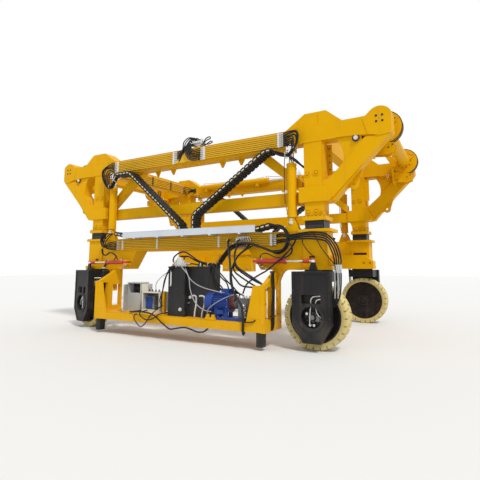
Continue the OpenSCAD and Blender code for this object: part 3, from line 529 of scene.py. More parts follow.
# Cable trays
# Folded aluminium channels on the lower beams, which the chains lie down in.
# Their ends feed the hoses to the wheels.
aluminium = coat("mill_aluminium", (0.62, 0.66, 0.72), 0.36, dust=0.3, blotch=0.2, runs=0.05, worn=0.0,
                 metallic=0.55)
for side, (place, body) in sides.items():
    paint_node(side + "_cable_tray", aluminium)
    lips = Piece(place)
    for y in (-0.434, -0.424):
        lips.block((-1.88, y, 2.412), (1.88, y + 0.006, 2.422))
    for x in (-1.25, -0.62, 0.0, 0.62, 1.25):
        lips.block((x - 0.05, -0.4345, 2.275), (x + 0.05, -0.43, 2.415))
        for z in (2.30, 2.39):
            for dx in (-0.03, 0.03):
                lips.bolt((x + dx, -0.4345, z), outward, 0.007)
    lips.finish(side + "_tray_lips", body, aluminium, "tray_aluminium")
    lying = Piece(place)
    for y in hose_lanes:
        for start, bent, half, end, sway in ((-0.11, -0.30, -1.0, -1.86, 0.004),
                                             (0.27, 0.45, 1.1, 1.86, -0.004)):
            lying.hose((start, y, 2.33), (bent, y, 2.306), (half, y + sway, 2.304), (end, y, 2.306),
                       radius=0.018, steps=6)
    lying.finish(side + "_tray_hoses", body, black_hose, "chain_plastic")
    tail, tail_strips = pieces(2, place, place @ left)
    for middle, ahead in along([Vector((1.90, 0, 2.345)), Vector((2.20, 0, 2.405))], link_pitch, 0.02):
        chain_link(tail, tail_strips, middle, ahead)
    tail.finish(side + "_tray_chain_ends", body, chain_black, "chain_plastic")
    tail_strips.finish(side + "_tray_chain_strips", body, chain_strip, "chain_plastic")

# Tyres
# Solid cream rubber, moulded in one piece and pressed on the rims.
# Slanted lugs round both shoulders meet in a chevron at the middle.
cream = coat("cream_rubber", (0.63, 0.51, 0.205), 0.62, dust=0.35, sheen=0.2, blotch=0.3, runs=0.0, worn=0.3,
             bare=(0.30, 0.26, 0.15, 1), grain=0.35, dusty=(0.40, 0.36, 0.28, 1))
wheel_r, tyre_half, wheel_offset = 0.625, 0.175, 0.145
shoes = {"near_left": near @ left, "near_right": near, "far_left": far @ left, "far_right": far}
corners = {corner: shoe @ Matrix.Translation((leg_x, 0, 0)) for corner, shoe in shoes.items()}
near_left_turn = math.radians(14)
corners["near_left"] @= Matrix.Rotation(near_left_turn, 4, "Z")
for corner, place in corners.items():
    axle = place @ Matrix.Translation((0, -wheel_offset, wheel_r))
    tyre = Piece(axle)

    def at(y, r, a):
        return (r * math.cos(a), y, r * math.sin(a))

    half_section = [(-0.158, 0.502), (-0.166, 0.52), (-0.168, 0.54), (-0.172, 0.543), (-0.172, 0.550),
                    (-0.167, 0.553), (-0.150, 0.568)]
    carcass = half_section + [(-y, r) for y, r in reversed(half_section)]
    facets = 108
    tyre.loft([[at(y, r, math.tau * i / facets) for y, r in carcass] for i in range(facets)], closed=True)
    lug = [(0.169, 0.552), (0.1745, 0.585), (0.168, 0.612), (0.150, 0.6225), (0.075, 0.6245),
           (-0.012, 0.6248), (-0.012, 0.57), (0.12, 0.57)]
    lugs, lug_share, lug_slant = 27, 0.83, 0.42
    pitch = math.tau / lugs
    for out, first in ((-1, 0), (1, 0.5)):
        for i in range(lugs):
            turns = [pitch * (i + first + lug_share * k / 4) for k in range(5)]
            tyre.loft([[at(out * y, r, a + (tyre_half - y) * lug_slant) for y, r in lug] for a in turns])
    tread = tyre.finish(corner + "_tyre", "wheel_" + corner, cream, "cream_tyre")
    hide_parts("tyre_" + corner)

# Hydraulic pipes
# Yellow steel pipes in bolted clamps along the near beams and over the end beams.
# Their cut ends take plated unions, and from there black hoses go on to the chains and wheels.
pale_clamp = coat("pale_clamp", (0.72, 0.71, 0.66), 0.42, dust=0.2, worn=0.1)
for name in ("near_lower_pipes", "upper_pipes"):
    paint_node(name, pipe_yellow)
upper_levels = [4.08 + 0.044 * i for i in range(7)]
lower_levels = [2.01 + 0.04 * i for i in range(6)]


def level(y, *points):
    """Points of a hose: (x, z) lies at depth y, and (x, y, z) stands as it is."""
    return [(p[0], y, p[1]) if len(p) == 2 else p for p in points]


def union_nut(piece, at, ahead, radius):
    at, ahead = Vector(at), Vector(ahead).normalized()
    piece.drum(at - ahead * 0.004, ahead, radius * 1.5, 0.022)
    piece.rod(at + ahead * 0.018, at + ahead * 0.075, radius * 1.15, 12)


upper_clamps, upper_unions, upper_hoses = pieces(3, near)
for x in (-2.37, -0.47, 0.44, 2.34):
    for z in upper_levels:
        upper_clamps.block((x - 0.026, -0.226, z - 0.020), (x + 0.026, -0.1995, z + 0.020))
    upper_clamps.block((x - 0.010, -0.232, 4.052), (x + 0.010, -0.225, 4.372))
for x, ahead in ((-2.42, -1), (-0.43, 1), (0.40, -1), (2.38, 1)):
    for z in upper_levels:
        union_nut(upper_unions, (x, -0.2, z), (ahead, 0, 0), 0.015)
for i, z in enumerate(upper_levels):
    y, d = -0.26 - 0.028 * (i % 4), 0.03 * i
    w = 0.035 * i - 0.10 if i < 3 else 0.016 * i + 0.04
    upper_hoses.hose((-2.48, -0.2, z), (-2.55 - 0.4 * w, -0.225, z), (-2.66 - w, y, min(z, 4.24) - 0.05),
                     (-2.72 - w, y, 4.02 + 0.3 * w), (-2.70 - 0.6 * w, y, 3.84), (-2.61, y, 3.69 - 0.3 * w),
                     (-2.50, y, 3.67 - 0.2 * w), (-2.40, y, 3.78), (-2.30, y, 3.90),
                     (-2.19, y, 3.94 + 0.01 * (i % 3)), radius=0.013)
    upper_hoses.hose((2.44, -0.2, z), (2.54, -0.225, z + 0.015), (2.61 + d, y, min(z + 0.01, 4.31)),
                     (2.65 + 0.9 * d, y, 4.09 + 0.2 * d), (2.66 + 0.3 * d, y, 3.94),
                     (2.60, y, 3.86 - 0.2 * d), (2.48, y, 3.84), (2.36, y, 3.88),
                     (2.24, y, 3.95 + 0.01 * (i % 3)), radius=0.016)
    upper_hoses.hose((-0.37, -0.2, z), (-0.30, -0.22, z + 0.005),
                     (-0.21 + 0.012 * i, -0.25 + 0.006 * i, 4.22 + 0.028 * i),
                     (-0.15 + 0.018 * i, -0.26 + 0.02 * i, 4.42),
                     (-0.13 + 0.03 * i, -0.25 + 0.03 * i, 4.56 - 0.02 * (i % 3)),
                     (-0.04 + 0.022 * i, -0.18 + 0.015 * i, 4.67 - 0.022 * (i % 4)),
                     (0.07 + 0.012 * i, -0.10, 4.65 - 0.02 * (i % 3)), (0.05 + 0.036 * i, -0.03, 4.575),
                     radius=0.0135)
    upper_hoses.hose((0.34, -0.2, z), (0.27, -0.225, z - 0.008),
                     (0.15, -0.255 + 0.006 * i, z - 0.012 - 0.002 * i),
                     (0.03 + 0.004 * i, -0.27 + 0.012 * i, z + 0.035),
                     (-0.07 + 0.02 * i, -0.27 + 0.012 * i, 4.27 + 0.03 * i),
                     (-0.09 + 0.03 * i, -0.24 + 0.012 * i, 4.44 + 0.012 * i),
                     (-0.04 + 0.03 * i, -0.18 + 0.01 * i, 4.52 + 0.01 * (i % 3)),
                     (0.05 + 0.036 * i, -0.12, 4.51), radius=0.0135)
for route in (((0.30, -0.03, 4.53), (0.40, -0.10, 4.60), (0.53, -0.13, 4.62), (0.56, -0.14, 4.57),
               (0.45, -0.14, 4.54), (0.31, -0.06, 4.50)),
              ((0.30, 0.0, 4.48), (0.44, -0.10, 4.47), (0.58, -0.15, 4.50), (0.64, -0.17, 4.46),
               (0.55, -0.19, 4.42), (0.42, -0.19, 4.44), (0.30, -0.12, 4.47))):
    upper_hoses.hose(*route, radius=0.0135)
for i in range(4):
    upper_hoses.hose((2.25, -0.22 - 0.03 * i, 3.96), (2.44, -0.25 - 0.024 * i, 3.87 + 0.01 * i),
                     (2.60, -0.26 - 0.02 * i, 3.82), (2.72, -0.23, 3.74 - 0.01 * i),
                     (2.80, -0.12 + 0.02 * i, 3.64), (2.884, -0.03 + 0.03 * i, 3.56), radius=0.020)
upper_hoses.hose((2.56, -0.24, 3.92), (2.50, -0.25, 3.82), (2.478, -0.245, 3.60), (2.474, -0.235, 3.20),
                 (2.476, -0.22, 2.84), radius=0.008)
upper_unions.block((0.01, -0.12, 4.46), (0.31, 0.03, 4.58))
upper_unions.block((0.10, -0.09, 4.399), (0.22, 0.0, 4.462))
for i in range(7):
    union_nut(upper_unions, (0.05 + 0.036 * i, -0.03, 4.575), upward, 0.0115)
    union_nut(upper_unions, (0.05 + 0.036 * i, -0.12, 4.51), outward, 0.0115)
upper_clamps.finish("upper_pipe_clamps", "upper_frame", pale_clamp, "valve_steel", bevel=0.002)
upper_unions.finish("upper_pipe_unions", "upper_frame", zinc, "valve_steel")
upper_hoses.finish("upper_pipe_hoses", "upper_frame", black_hose, "chain_plastic")
ties = Piece(near)
for x, z, ahead, r in ((-2.55, 3.68, endward, 0.064), (-2.36, 3.83, (1, 0, 1.1), 0.062),
                       (2.54, 3.845, endward, 0.075)):
    ties.ring((x, -0.30, z), ahead, r, r - 0.006, 0.012, 16)
ties.finish("hose_ties", "upper_frame", chain_strip, "chain_plastic")

lower_clamps, lower_unions, lower_hoses = pieces(3, near)
for x in (-2.06, -0.90, 0.88, 2.16):
    for z in lower_levels:
        lower_clamps.block((x - 0.024, -0.249, z - 0.018), (x + 0.024, -0.2235, z + 0.018))
    lower_clamps.block((x - 0.009, -0.255, 1.985), (x + 0.009, -0.248, 2.235))
for x, ahead in ((-2.2, -1), (2.2, 1)):
    for z in lower_levels:
        union_nut(lower_unions, (x, -0.224, z), (ahead, 0, 0), 0.014)
for i, z in enumerate(lower_levels):
    y = -0.28 - 0.03 * (i % 4)
    w = 0.0 if i > 1 else 0.11 - 0.03 * i
    lower_hoses.hose((-2.26, -0.224, z), (-2.38, -0.25, z - 0.01), (-2.52, y, 0.7 * z + 0.612),
                     (-2.64, y, 2.055 + 0.006 * i), (-2.71 + 0.5 * w, y, 2.12 + 0.012 * i),
                     (-2.735 + w, y, 2.24), (-2.69 + 1.2 * w, y, 2.35 + 0.008 * i - 0.5 * w),
                     (-2.56 + w, y, 2.42 - 0.4 * w), (-2.38, y, 2.41), (-2.22, -0.36, 2.40),
                     (-2.02, -0.34, 2.39), (-1.86, -0.33, 2.33), radius=0.012)
    r, y = 1.0 + 0.10 * (i - 2.5) / 2.5, -0.27 - 0.035 * (i % 4)
    bend = ((0.0, 0.25), (0.12, 0.17), (0.18, 0.02), (0.15, -0.14), (0.05, -0.24), (-0.07, -0.265))
    curl = [(2.38 + r * dx, y, 2.12 + r * dz) for dx, dz in bend]
    lower_hoses.hose((1.90, -0.36 + 0.03 * i, 2.345), (2.05, -0.34 + 0.01 * i, 2.39), (2.20, y, 2.40),
                     *curl, (2.18, y - 0.02, 1.885), (2.0, y - 0.03, 1.955),
                     (1.76, y - 0.04, 2.02 + 0.01 * (i % 3)), (1.51, y - 0.05, 2.03 + 0.015 * (i % 2)),
                     (1.30, y - 0.05, 1.955 + 0.012 * i), (1.14, y - 0.05, 1.81 + 0.01 * i),
                     (1.00, y - 0.02, 1.665 + 0.008 * i), (0.86 + 0.02 * i, -0.34, 1.60),
                     (0.70 + 0.05 * i, -0.30, 1.575), radius=0.0185)
for k in range(2):
    lower_hoses.hose(*level(-0.40 - 0.03 * k, (-2.60, 2.02), (-2.58, 1.90), (-2.47, 1.85), (-2.31, 1.92),
                            (-2.17, 1.88), (-2.08, 1.80), (-2.10 - 0.12 * k, -0.36, 1.735)), radius=0.012)
    lower_hoses.hose(*level(-0.42 - 0.03 * k, (2.60, 2.06), (2.69, 1.95), (2.68, 1.83), (2.57, 1.75),
                            (2.45, -0.38, 1.735)), radius=0.012)
drop_routes = (
    (0.009, (2.86, -0.29, 2.10), (2.865, -0.29, 2.02), (2.95, -0.285, 1.88), (3.04, -0.265, 1.78),
     (3.06, -0.245, 1.74)),
    (0.017, (2.74, -0.29, 2.14), (2.66, -0.31, 1.97), (2.52, -0.36, 1.80), (2.34, -0.43, 1.63),
     (2.16, -0.48, 1.48), (2.05, -0.50, 1.42), (1.90, -0.52, 1.33), (1.76, -0.58, 1.20),
     (1.70, -0.62, 1.02)),
    (0.011, *level(-0.45, (1.98, -0.38, 1.735), (2.02, 1.79), (2.12, 1.83), (2.22, 1.80), (2.33, 1.75),
                   (2.43, -0.38, 1.735))))
for radius, *route in drop_routes:
    lower_hoses.hose(*route, radius=radius)
for i in range(5):
    x = 1.36 + 0.055 * i
    lower_unions.tube([(x, -0.255, 2.02), (x, -0.30, 2.06 + 0.02 * i), (x + 0.01, -0.31, 2.15),
                       (x + 0.05, -0.30, 2.195), (x + 0.10, -0.29, 2.18), (x + 0.12, -0.27, 2.10)],
                      0.011, 8)
    union_nut(lower_unions, (x, -0.262, 2.03), (0, -0.3, -1), 0.013)
lower_clamps.finish("lower_pipe_clamps", "lower_near", pale_clamp, "valve_steel", bevel=0.002)
lower_unions.finish("lower_pipe_unions", "lower_near", zinc, "valve_steel")
lower_hoses.finish("lower_pipe_hoses", "lower_near", black_hose, "chain_plastic")

# Lift cylinders
# Four upright hydraulic cylinders beside the columns. Each foot is pinned in a clevis on the lower beam,
# and its rod goes up to a bolted bracket under the top beam.
chrome = coat("hard_chrome", (0.78, 0.78, 0.79), 0.14, metallic=1.0, dust=0.05, blotch=0.05,
              runs=0.0, worn=0.0)
paint_node("lift_rods", chrome)
lift_x, lift_y = 2.59, -0.12
for side, (place, body) in sides.items():
    paint_node(side + "_lift_barrels", yellow)
    ends = (place, place @ left)
    glands, pins = pieces(2, *ends)
    for z, outer, inner, tall in ((3.652, 0.107, 0.058, 0.045), (3.56, 0.106, 0.0995, 0.05),
                                  (2.56, 0.107, 0.0995, 0.03)):
        glands.ring((lift_x, lift_y, z), upward, outer, inner, tall, 32)
    for z in (3.57, 2.62):
        glands.block((2.475, -0.15, z), (2.51, -0.09, z + 0.05))
    glands.tube(level(lift_y, (2.487, 3.575), (2.462, 3.55), (2.46, 3.50), (2.46, 2.75), (2.487, 2.665)),
                0.010, 8)
    glands.finish(side + "_lift_glands", body, yellow, "yellow_paint", bevel=0.003)
    for y, out in ((-0.196, -1), (-0.044, 1)):
        pins.turned((lift_x, y, 2.45), (0, out, 0), [(0, 0.046), (0.010, 0.046), (0.014, 0.040)], 24)
        pins.block((lift_x - 0.03, y, 2.505), (lift_x + 0.03, y + out * 0.004, 2.535))
    pins.finish(side + "_lift_pins", body, zinc, "valve_steel")
    tops = Piece(*ends)
    for x in (lift_x - 0.06, lift_x + 0.06):
        for z in (4.06, 3.97):
            tops.bolt((x, -0.1905, z), outward, 0.012)
    tops.finish(side + "_lift_top_bolts", "upper_frame", dark, "valve_steel")

# Steering cylinders
# Red hydraulic cylinders on the outer face of the leg shoes, each held by a pin at its closed end.
# A chromed rod pushes the lug on each fork's head.
red = coat("red_enamel", (0.51, 0.032, 0.017), 0.34, dust=0.2, worn=0.3, gloss=0.15)
steer_y, steer_z = -0.33, 1.67
for side, (place, body) in sides.items():
    paint_node(side + "_steer_barrels", red)
    ends = (place, place @ left)
    bands, ports = pieces(2, *ends)
    for x, outer, inner, wide in ((2.485, 0.055, 0.024, 0.047), (1.90, 0.054, 0.0475, 0.035)):
        bands.ring((x, steer_y, steer_z), endward, outer, inner, wide, 28)
    bands.finish(side + "_steer_caps", body, red, "red_paint", bevel=0.002)
    for x in (1.98, 2.45):
        ports.drum((x, steer_y, steer_z + 0.044), upward, 0.020, 0.022)
        ports.tube([(x, steer_y - y, steer_z + z) for y, z in ((0, 0.06), (0.012, 0.078), (0.05, 0.074))],
                   0.012, 8)
    ports.ring((2.532, steer_y, steer_z), endward, 0.034, 0.024, 0.012, 24)
    ports.drum((1.83, steer_y, steer_z - 0.062), upward, 0.020, 0.124, 20)
    for x, z in ((1.90, 1.60), (1.97, 1.565), (2.05, 1.53)):
        union_nut(ports, (x, -0.20, z), outward, 0.013)
    ports.finish(side + "_steer_ports", body, zinc, "valve_steel")
for corner, shoe in shoes.items():
    paint_node("steer_rod_" + corner, chrome)
    eye_x = 3.1598 if corner == "near_left" else leg_x
    caps = Piece(shoe)
    caps.ring((eye_x, steer_y, steer_z + 0.0205), upward, 0.046, 0.018, 0.016, 28)
    caps.turned((eye_x, steer_y, steer_z + 0.03), upward, [(0, 0.024), (0.014, 0.024), (0.018, 0.018)], 20)
    caps.ring((eye_x - 0.205, steer_y, steer_z), endward, 0.038, 0.0225, 0.165, 28)
    caps.finish("steer_eye_" + corner, "steer_rod_" + corner, red, "red_paint", bevel=0.002)

# Upper columns
# Box columns of welded plate that slide on the inner legs.
# They have peaked tops, raised cover plates and a bolted foot flange.
for name in ("upper_columns", "top_beams", "mid_beams", "end_brackets", "end_tubes", "end_portals",
             "cross_beams", "hoist_cylinder"):
    paint_node(name, yellow)
for side, (place, _) in sides.items():
    ends = (place, place @ left)
    column_bolts, column_plates, column_welds = pieces(3, *ends)
    for x in (-0.20, -0.12, -0.04, 0.04, 0.12, 0.21):
        for y in (-0.212, 0.212):
            column_bolts.bolt((leg_x + x, y, 2.55), upward, 0.014)
    for y in (-0.12, -0.04, 0.04, 0.12):
        for x in (-0.212, 0.222):
            column_bolts.bolt((leg_x + x, y, 2.55), upward, 0.014)
    column_plates.block((3.268, 0.118, 3.42), (3.385, 0.138, 4.055))
    column_plates.block((3.268, 0.138, 3.42), (3.290, 0.17, 4.055))
    for y, z in ((-0.09, 2.64), (0.0, 2.65), (0.09, 2.64)):
        column_plates.ring((3.269, y, z), endward, 0.042, 0.024, 0.012, 28)
        column_plates.turned((3.269, y, z), endward, [(0, 0.018), (0.018, 0.018), (0.022, 0.012)], 16)
    for z in (3.53, 3.68, 3.82, 3.97):
        column_bolts.bolt((3.335, 0.118, z), outward, 0.013)
        column_bolts.bolt((3.284, -0.08, z), endward, 0.013)
        column_bolts.bolt((2.876, 0.05, z - 0.1), (-1, 0, 0), 0.013)
    for y in (-0.08, 0.12):
        column_plates.block((3.269, y - 0.035, 3.38), (3.284, y + 0.035, 3.97))
    column_plates.block((2.876, 0.015, 3.28), (2.891, 0.085, 3.87))
    for out in (-1, 1):
        face, aim = out * 0.19, (0, out, 0)
        for x, z, r in ((2.96, 3.42, 0.068), (3.14, 3.43, 0.068), (2.96, 2.64, 0.068), (3.13, 2.65, 0.068),
                        (3.235, 2.63, 0.03)):
            boss = (x, out * 0.189, z)
            column_plates.ring(boss, aim, r, r * 0.62, 0.012, 32)
            column_plates.turned(boss, aim, [(0, r * 0.42), (0.020, r * 0.42), (0.024, r * 0.32)], 20)
            for a in (0.6 + math.tau * k / 4 for k in range(4)):
                rim_x, rim_z = x + 0.8 * r * math.cos(a), z + 0.8 * r * math.sin(a)
                column_plates.bolt((rim_x, out * 0.2, rim_z), aim, 0.007)
        column_plates.turned((3.22, out * 0.189, 3.16), aim, [(0, 0.022), (0.010, 0.022), (0.012, 0.018)], 20)
        column_plates.drum((2.84, out * 0.219, 3.10), aim, 0.016, 0.006, 16)
        column_plates.block((3.20, face, 4.41), (3.214, out * 0.196, 4.655))
        for x, z, x2, z2, proud, r in ((2.50, 4.402, 2.78, 4.402, 0.001, 0.006),
                                       (2.785, 4.40, 2.785, 4.545, 0.002, 0.006),
                                       (2.892, 2.56, 2.892, 4.06, 0.001, 0.004),
                                       (3.268, 3.16, 3.268, 4.06, 0.001, 0.004),
                                       (2.77, 2.842, 3.27, 2.842, 0.031, 0.005),
                                       (2.86, 2.556, 3.30, 2.556, 0.003, 0.007)):
            y = face + out * proud
            column_welds.weld((x, y, z), (x2, y, z2), radius=r)
    column_bolts.finish(side + "_column_bolts", "upper_frame", dark, "valve_steel")
    column_plates.finish(side + "_column_plates", "upper_frame", yellow, "yellow_paint", bevel=0.002)
    column_welds.finish(side + "_column_welds", "upper_frame", yellow, "yellow_paint")

# Top and middle beams
# Rolled box sections between the columns, welded to them at both ends.
# Small hooks hang under the top beam, and small lugs stand on it.
for side, (place, _) in sides.items():
    beam_welds = Piece(place, place @ left)
    for x, y, z in ((2.48, -0.172, 4.025), (2.48, -0.172, 4.395), (2.48, 0.132, 4.025), (2.48, 0.132, 4.395),
                    (2.76, -0.012, 2.835), (2.76, -0.012, 3.095)):
        beam_welds.weld((0.02, y, z), (x, y, z), radius=0.004)
    beam_welds.weld((2.502, -0.171, 4.03), (2.502, -0.171, 4.39), radius=0.008)
    for x in (0.74, 1.25):
        beam_welds.plate([(x - 0.10, 4.10), (x + 0.10, 4.10), (x + 0.08, 4.0), (x + 0.02, 3.895),
                          (x - 0.02, 3.895), (x - 0.07, 4.0)], 0.1295, 0.148)
    for x in (0.92, 1.70):
        beam_welds.plate([(x - 0.05, 4.395), (x + 0.05, 4.395), (x + 0.03, 4.435), (x - 0.03, 4.435)],
                         -0.02, -0.005)
    beam_welds.finish(side + "_beam_welds", "upper_frame", yellow, "yellow_paint")

# End brackets
# Plate brackets, welded up, that reach out past the columns to the end tubes.
# They carry bolted ears and load pins, and a dark disc of painted shade round each pin's outer end.
tube_x, tube_z, pin_x, pin_z = 4.39, 4.33, 3.945, 4.018
for side, (place, _) in sides.items():
    ends = (place, place @ left)
    ear_bolts_and_shade_disc, ear_plates, ear_welds = pieces(3, *ends)
    for out, face in ((-1, -0.2), (1, 0.19)):
        inside, outside = face - out * 0.001, face + out * 0.001
        for x in (tube_x - 0.055, tube_x + 0.055):
            for z in (tube_z - 0.055, tube_z + 0.055):
                ear_bolts_and_shade_disc.drum((x, inside, z), (0, out, 0), 0.023, 0.003, 20)
                ear_bolts_and_shade_disc.bolt((x, face + out * 0.002, z), (0, out, 0), 0.013)
        ear_bolts_and_shade_disc.drum((tube_x, inside, tube_z), (0, out, 0), 0.008, 0.003, 12)
        ear_welds.weld(*level(outside, (3.694, 4.085), (4.16, 4.062), (4.38, 4.002)), radius=0.005)
        ear_welds.weld(*level(outside, (4.14, 4.075), (4.065, 4.405)), radius=0.004)
    for i in range(7):
        ear_welds.weld(*[(3.46 + 0.62 * t, -0.167, 3.32 + 0.65 * t)
                         for t in ((i + 0.5) / 7, (i + 0.5) / 7 + 0.14)], radius=0.005)
    # Painted shade: this dark iron disc round each load pin's outer end stands in for the shadow round the
    # pin.
    ear_bolts_and_shade_disc.turned((pin_x, -0.1785, pin_z), outward, [(0, 0.074), (0.012, 0.074), (0.016, 0.068)], 32)
    ear_plates.ring((pin_x, -0.166, pin_z), outward, 0.078, 0.0455, 0.012, 32)
    ear_plates.ring((pin_x, 0.074, pin_z), (0, 1, 0), 0.078, 0.0455, 0.014, 32)
    ear_plates.finish(side + "_ear_rings", "upper_frame", yellow, "yellow_paint", bevel=0.002)
    ear_bolts_and_shade_disc.finish(side + "_ear_bolts_and_shade_disc", "upper_frame", dark, "valve_steel")
    ear_welds.finish(side + "_ear_welds", "upper_frame", yellow, "yellow_paint")
    pin_ends = Piece(*ends)
    pin_ends.turned((pin_x, -0.2145, pin_z), outward, [(0, 0.043), (0.006, 0.043), (0.012, 0.037)], 32)
    pin_ends.ring((pin_x, 0.4195, pin_z), (0, 1, 0), 0.046, 0.036, 0.010, 32)
    pin_ends.finish(side + "_load_pin_ends", "upper_frame", zinc, "valve_steel")

# End tubes
# Round tubes across both ends with double rope discs, the arched plates under them and the cross beams.
# The discs have dark bands on their rims and in the groove between each pair, and a ring of bolts round the
# hub.
for side, (place, _) in sides.items():
    ends = (place, place @ left)
    disc_rings, disc_bolts, disc_dark_bands = pieces(3, *ends)
    for y, out in ((0.385, -1), (0.43, 1), (0.49, -1), (0.535, 1)):
        disc_rings.ring((tube_x, y - out * 0.001, tube_z), (0, out, 0), 0.20, 0.139, 0.010, 40)
        # A dark band round the rim of each disc.
        disc_dark_bands.ring((tube_x, y - out * 0.0005, tube_z), (0, out, 0), 0.3405, 0.326, 0.0025, 56)
        disc_bolts.bolt_ring((tube_x, y + out * 0.008, tube_z), (0, out, 0), 0.170, 10, 0.011)
    # A dark band round the groove floor between each pair of discs.
    for y in (0.3945, 0.5145):
        disc_dark_bands.ring((tube_x, y, tube_z), (0, 1, 0), 0.3425, 0.338, 0.026, 64)
    for y, out in ((0.347, -1), (0.573, 1)):
        for x, z in ((4.46, 4.40), (4.55, 4.50), (4.60, 4.475)):
            disc_bolts.bolt((x, y, z), (0, out, 0), 0.010)
        for x, z in ((4.20, 3.845), (4.45, 3.90), (4.53, 3.95)):
            disc_bolts.bolt((x, y, z), (0, out, 0), 0.012)
    disc_rings.ring((tube_x, 0.30, tube_z), (0, 1, 0), 0.150, 0.139, 0.03, 40)
    disc_rings.weld(*[(tube_x + 0.142 * math.cos(a), 0.201, tube_z + 0.142 * math.sin(a))
                      for a in (math.tau * k / 40 for k in range(41))])
    disc_rings.weld((4.10, 0.205, 3.80), (4.10, 0.205, 4.40))
    disc_rings.finish(side + "_disc_rings", "upper_frame", yellow, "yellow_paint")
    disc_bolts.finish(side + "_disc_bolts", "upper_frame", dark, "valve_steel")
    disc_dark_bands.finish(side + "_disc_dark_bands", "upper_frame", greased, "greased_leg")

cross_parts, cross_unions, cross_hoses, cross_clamps = pieces(4, Matrix(), left)
cross_levels = [4.17 + 0.055 * i for i in range(5)]
for y in (-0.9, 0.0, 0.9):
    for z in cross_levels:
        cross_clamps.block((2.912, y - 0.024, z - 0.022), (2.936, y + 0.024, z + 0.022))
    cross_clamps.block((2.906, y - 0.010, 4.14), (2.913, y + 0.010, 4.42))
for y, ahead in ((-1.5, -1), (1.5, 1)):
    for z in cross_levels:
        union_nut(cross_unions, (2.935, y, z), (0, ahead, 0), 0.015)
for i, z in enumerate(cross_levels):
    cross_hoses.hose((2.935, 1.56, z), (2.92, 1.66, z - 0.01), (2.87 - 0.02 * i, 1.76, z - 0.05),
                     (2.78 - 0.02 * i, 1.83, 4.21 + 0.02 * i), (2.66, 1.90, 4.20 + 0.03 * i),
                     (2.58, 1.985, 4.18 + 0.04 * i), radius=0.015)
    cross_hoses.hose((2.935, -1.55, z), (2.92, -1.59, z + 0.01), (2.86 - 0.015 * i, -1.62, 4.20 + 0.03 * i),
                     (2.74, -1.645, 4.17 + 0.035 * i), (2.62, -1.655, 4.16 + 0.04 * i), radius=0.015)
for y in (-0.45, 0.45):
    cross_parts.ring((2.957, y, 4.13), endward, 0.024, 0.012, 0.010, 20)
for x in (2.958, 3.202):
    for z in (4.104, 4.476):
        cross_parts.weld((x, -1.58, z), (x, 1.92, z), radius=0.004)
cross_parts.weld((4.099, -1.57, 3.79), (4.099, -1.57, 4.39))
cross_parts.finish("cross_beam_welds", "upper_frame", yellow, "yellow_paint")
cross_clamps.finish("cross_pipe_clamps", "upper_frame", dark, "valve_steel", bevel=0.002)
cross_unions.finish("cross_pipe_unions", "upper_frame", zinc, "valve_steel")
cross_hoses.finish("cross_pipe_hoses", "upper_frame", black_hose, "chain_plastic")

# Hoist cylinder
# A long hydraulic cylinder that lies along the inner face of the far top beam, with its chromed rod
# and ports, and the tool box in the far lower frame.
ram_y, ram_z = 0.26, 4.32
ram_rod, ram_rings, ram_ports = pieces(3, far)
ram_rod.ring((0.302, ram_y, ram_z), endward, 0.0456, 0.044, 1.046, 32)
for x in (-2.302, 0.262):
    ram_rings.ring((x, ram_y, ram_z), endward, 0.097, 0.046, 0.04, 36)
for x in (-2.155, -0.155, 1.345):
    for y in (0.15, 0.30):
        ram_ports.bolt((x + 0.055, y, 4.36), upward, 0.013)
for x in (-2.22, 0.20):
    ram_ports.drum((x, ram_y, 4.405), upward, 0.022, 0.024)
    ram_ports.tube([(x, ram_y, 4.42), (x, ram_y, 4.45), (x + 0.02, 0.255, 4.462), (x + 0.06, 0.25, 4.462)],
                   0.012, 8)
for route in (((0.26, 0.25, 4.462), (0.36, 0.24, 4.44), (0.50, 0.22, 4.43), (0.80, 0.17, 4.42),
               (1.10, 0.145, 4.42)),
              level(0.25, (-2.16, 4.462), (-2.0, 4.45), (-1.2, 4.425), (-0.2, 4.42), (0.14, 4.45))):
    ram_ports.hose(*route, radius=0.011)
ram_rod.finish("hoist_rod_chrome", "upper_frame", chrome, "chromed_rod")
ram_rings.finish("hoist_rings", "upper_frame", yellow, "yellow_paint", bevel=0.003)
ram_ports.finish("hoist_ports", "upper_frame", zinc, "valve_steel")
paint_node("far_tool_box", yellow)
locker, latches = pieces(2, far)
locker.block((-1.49, 0.1495, 1.46), (-0.41, 0.158, 1.90))
locker.block((-1.49, -0.158, 1.46), (-0.96, -0.1495, 1.90))
locker.block((-0.94, -0.158, 1.46), (-0.41, -0.1495, 1.90))
locker.weld((-1.50, 0.152, 1.948), (-0.40, 0.152, 1.948))
for x in (-1.35, -0.55):
    latches.rod((x - 0.04, 0.163, 1.90), (x + 0.04, 0.163, 1.90), 0.009)
    latches.block((x - 0.02, 0.157, 1.50), (x + 0.02, 0.170, 1.56))
    latches.block((x - 0.02, -0.170, 1.66), (x + 0.02, -0.157, 1.72))
locker.finish("tool_box_doors", "lower_far", yellow, "yellow_paint", bevel=0.004)
latches.finish("tool_box_latches", "lower_far", zinc, "valve_steel")

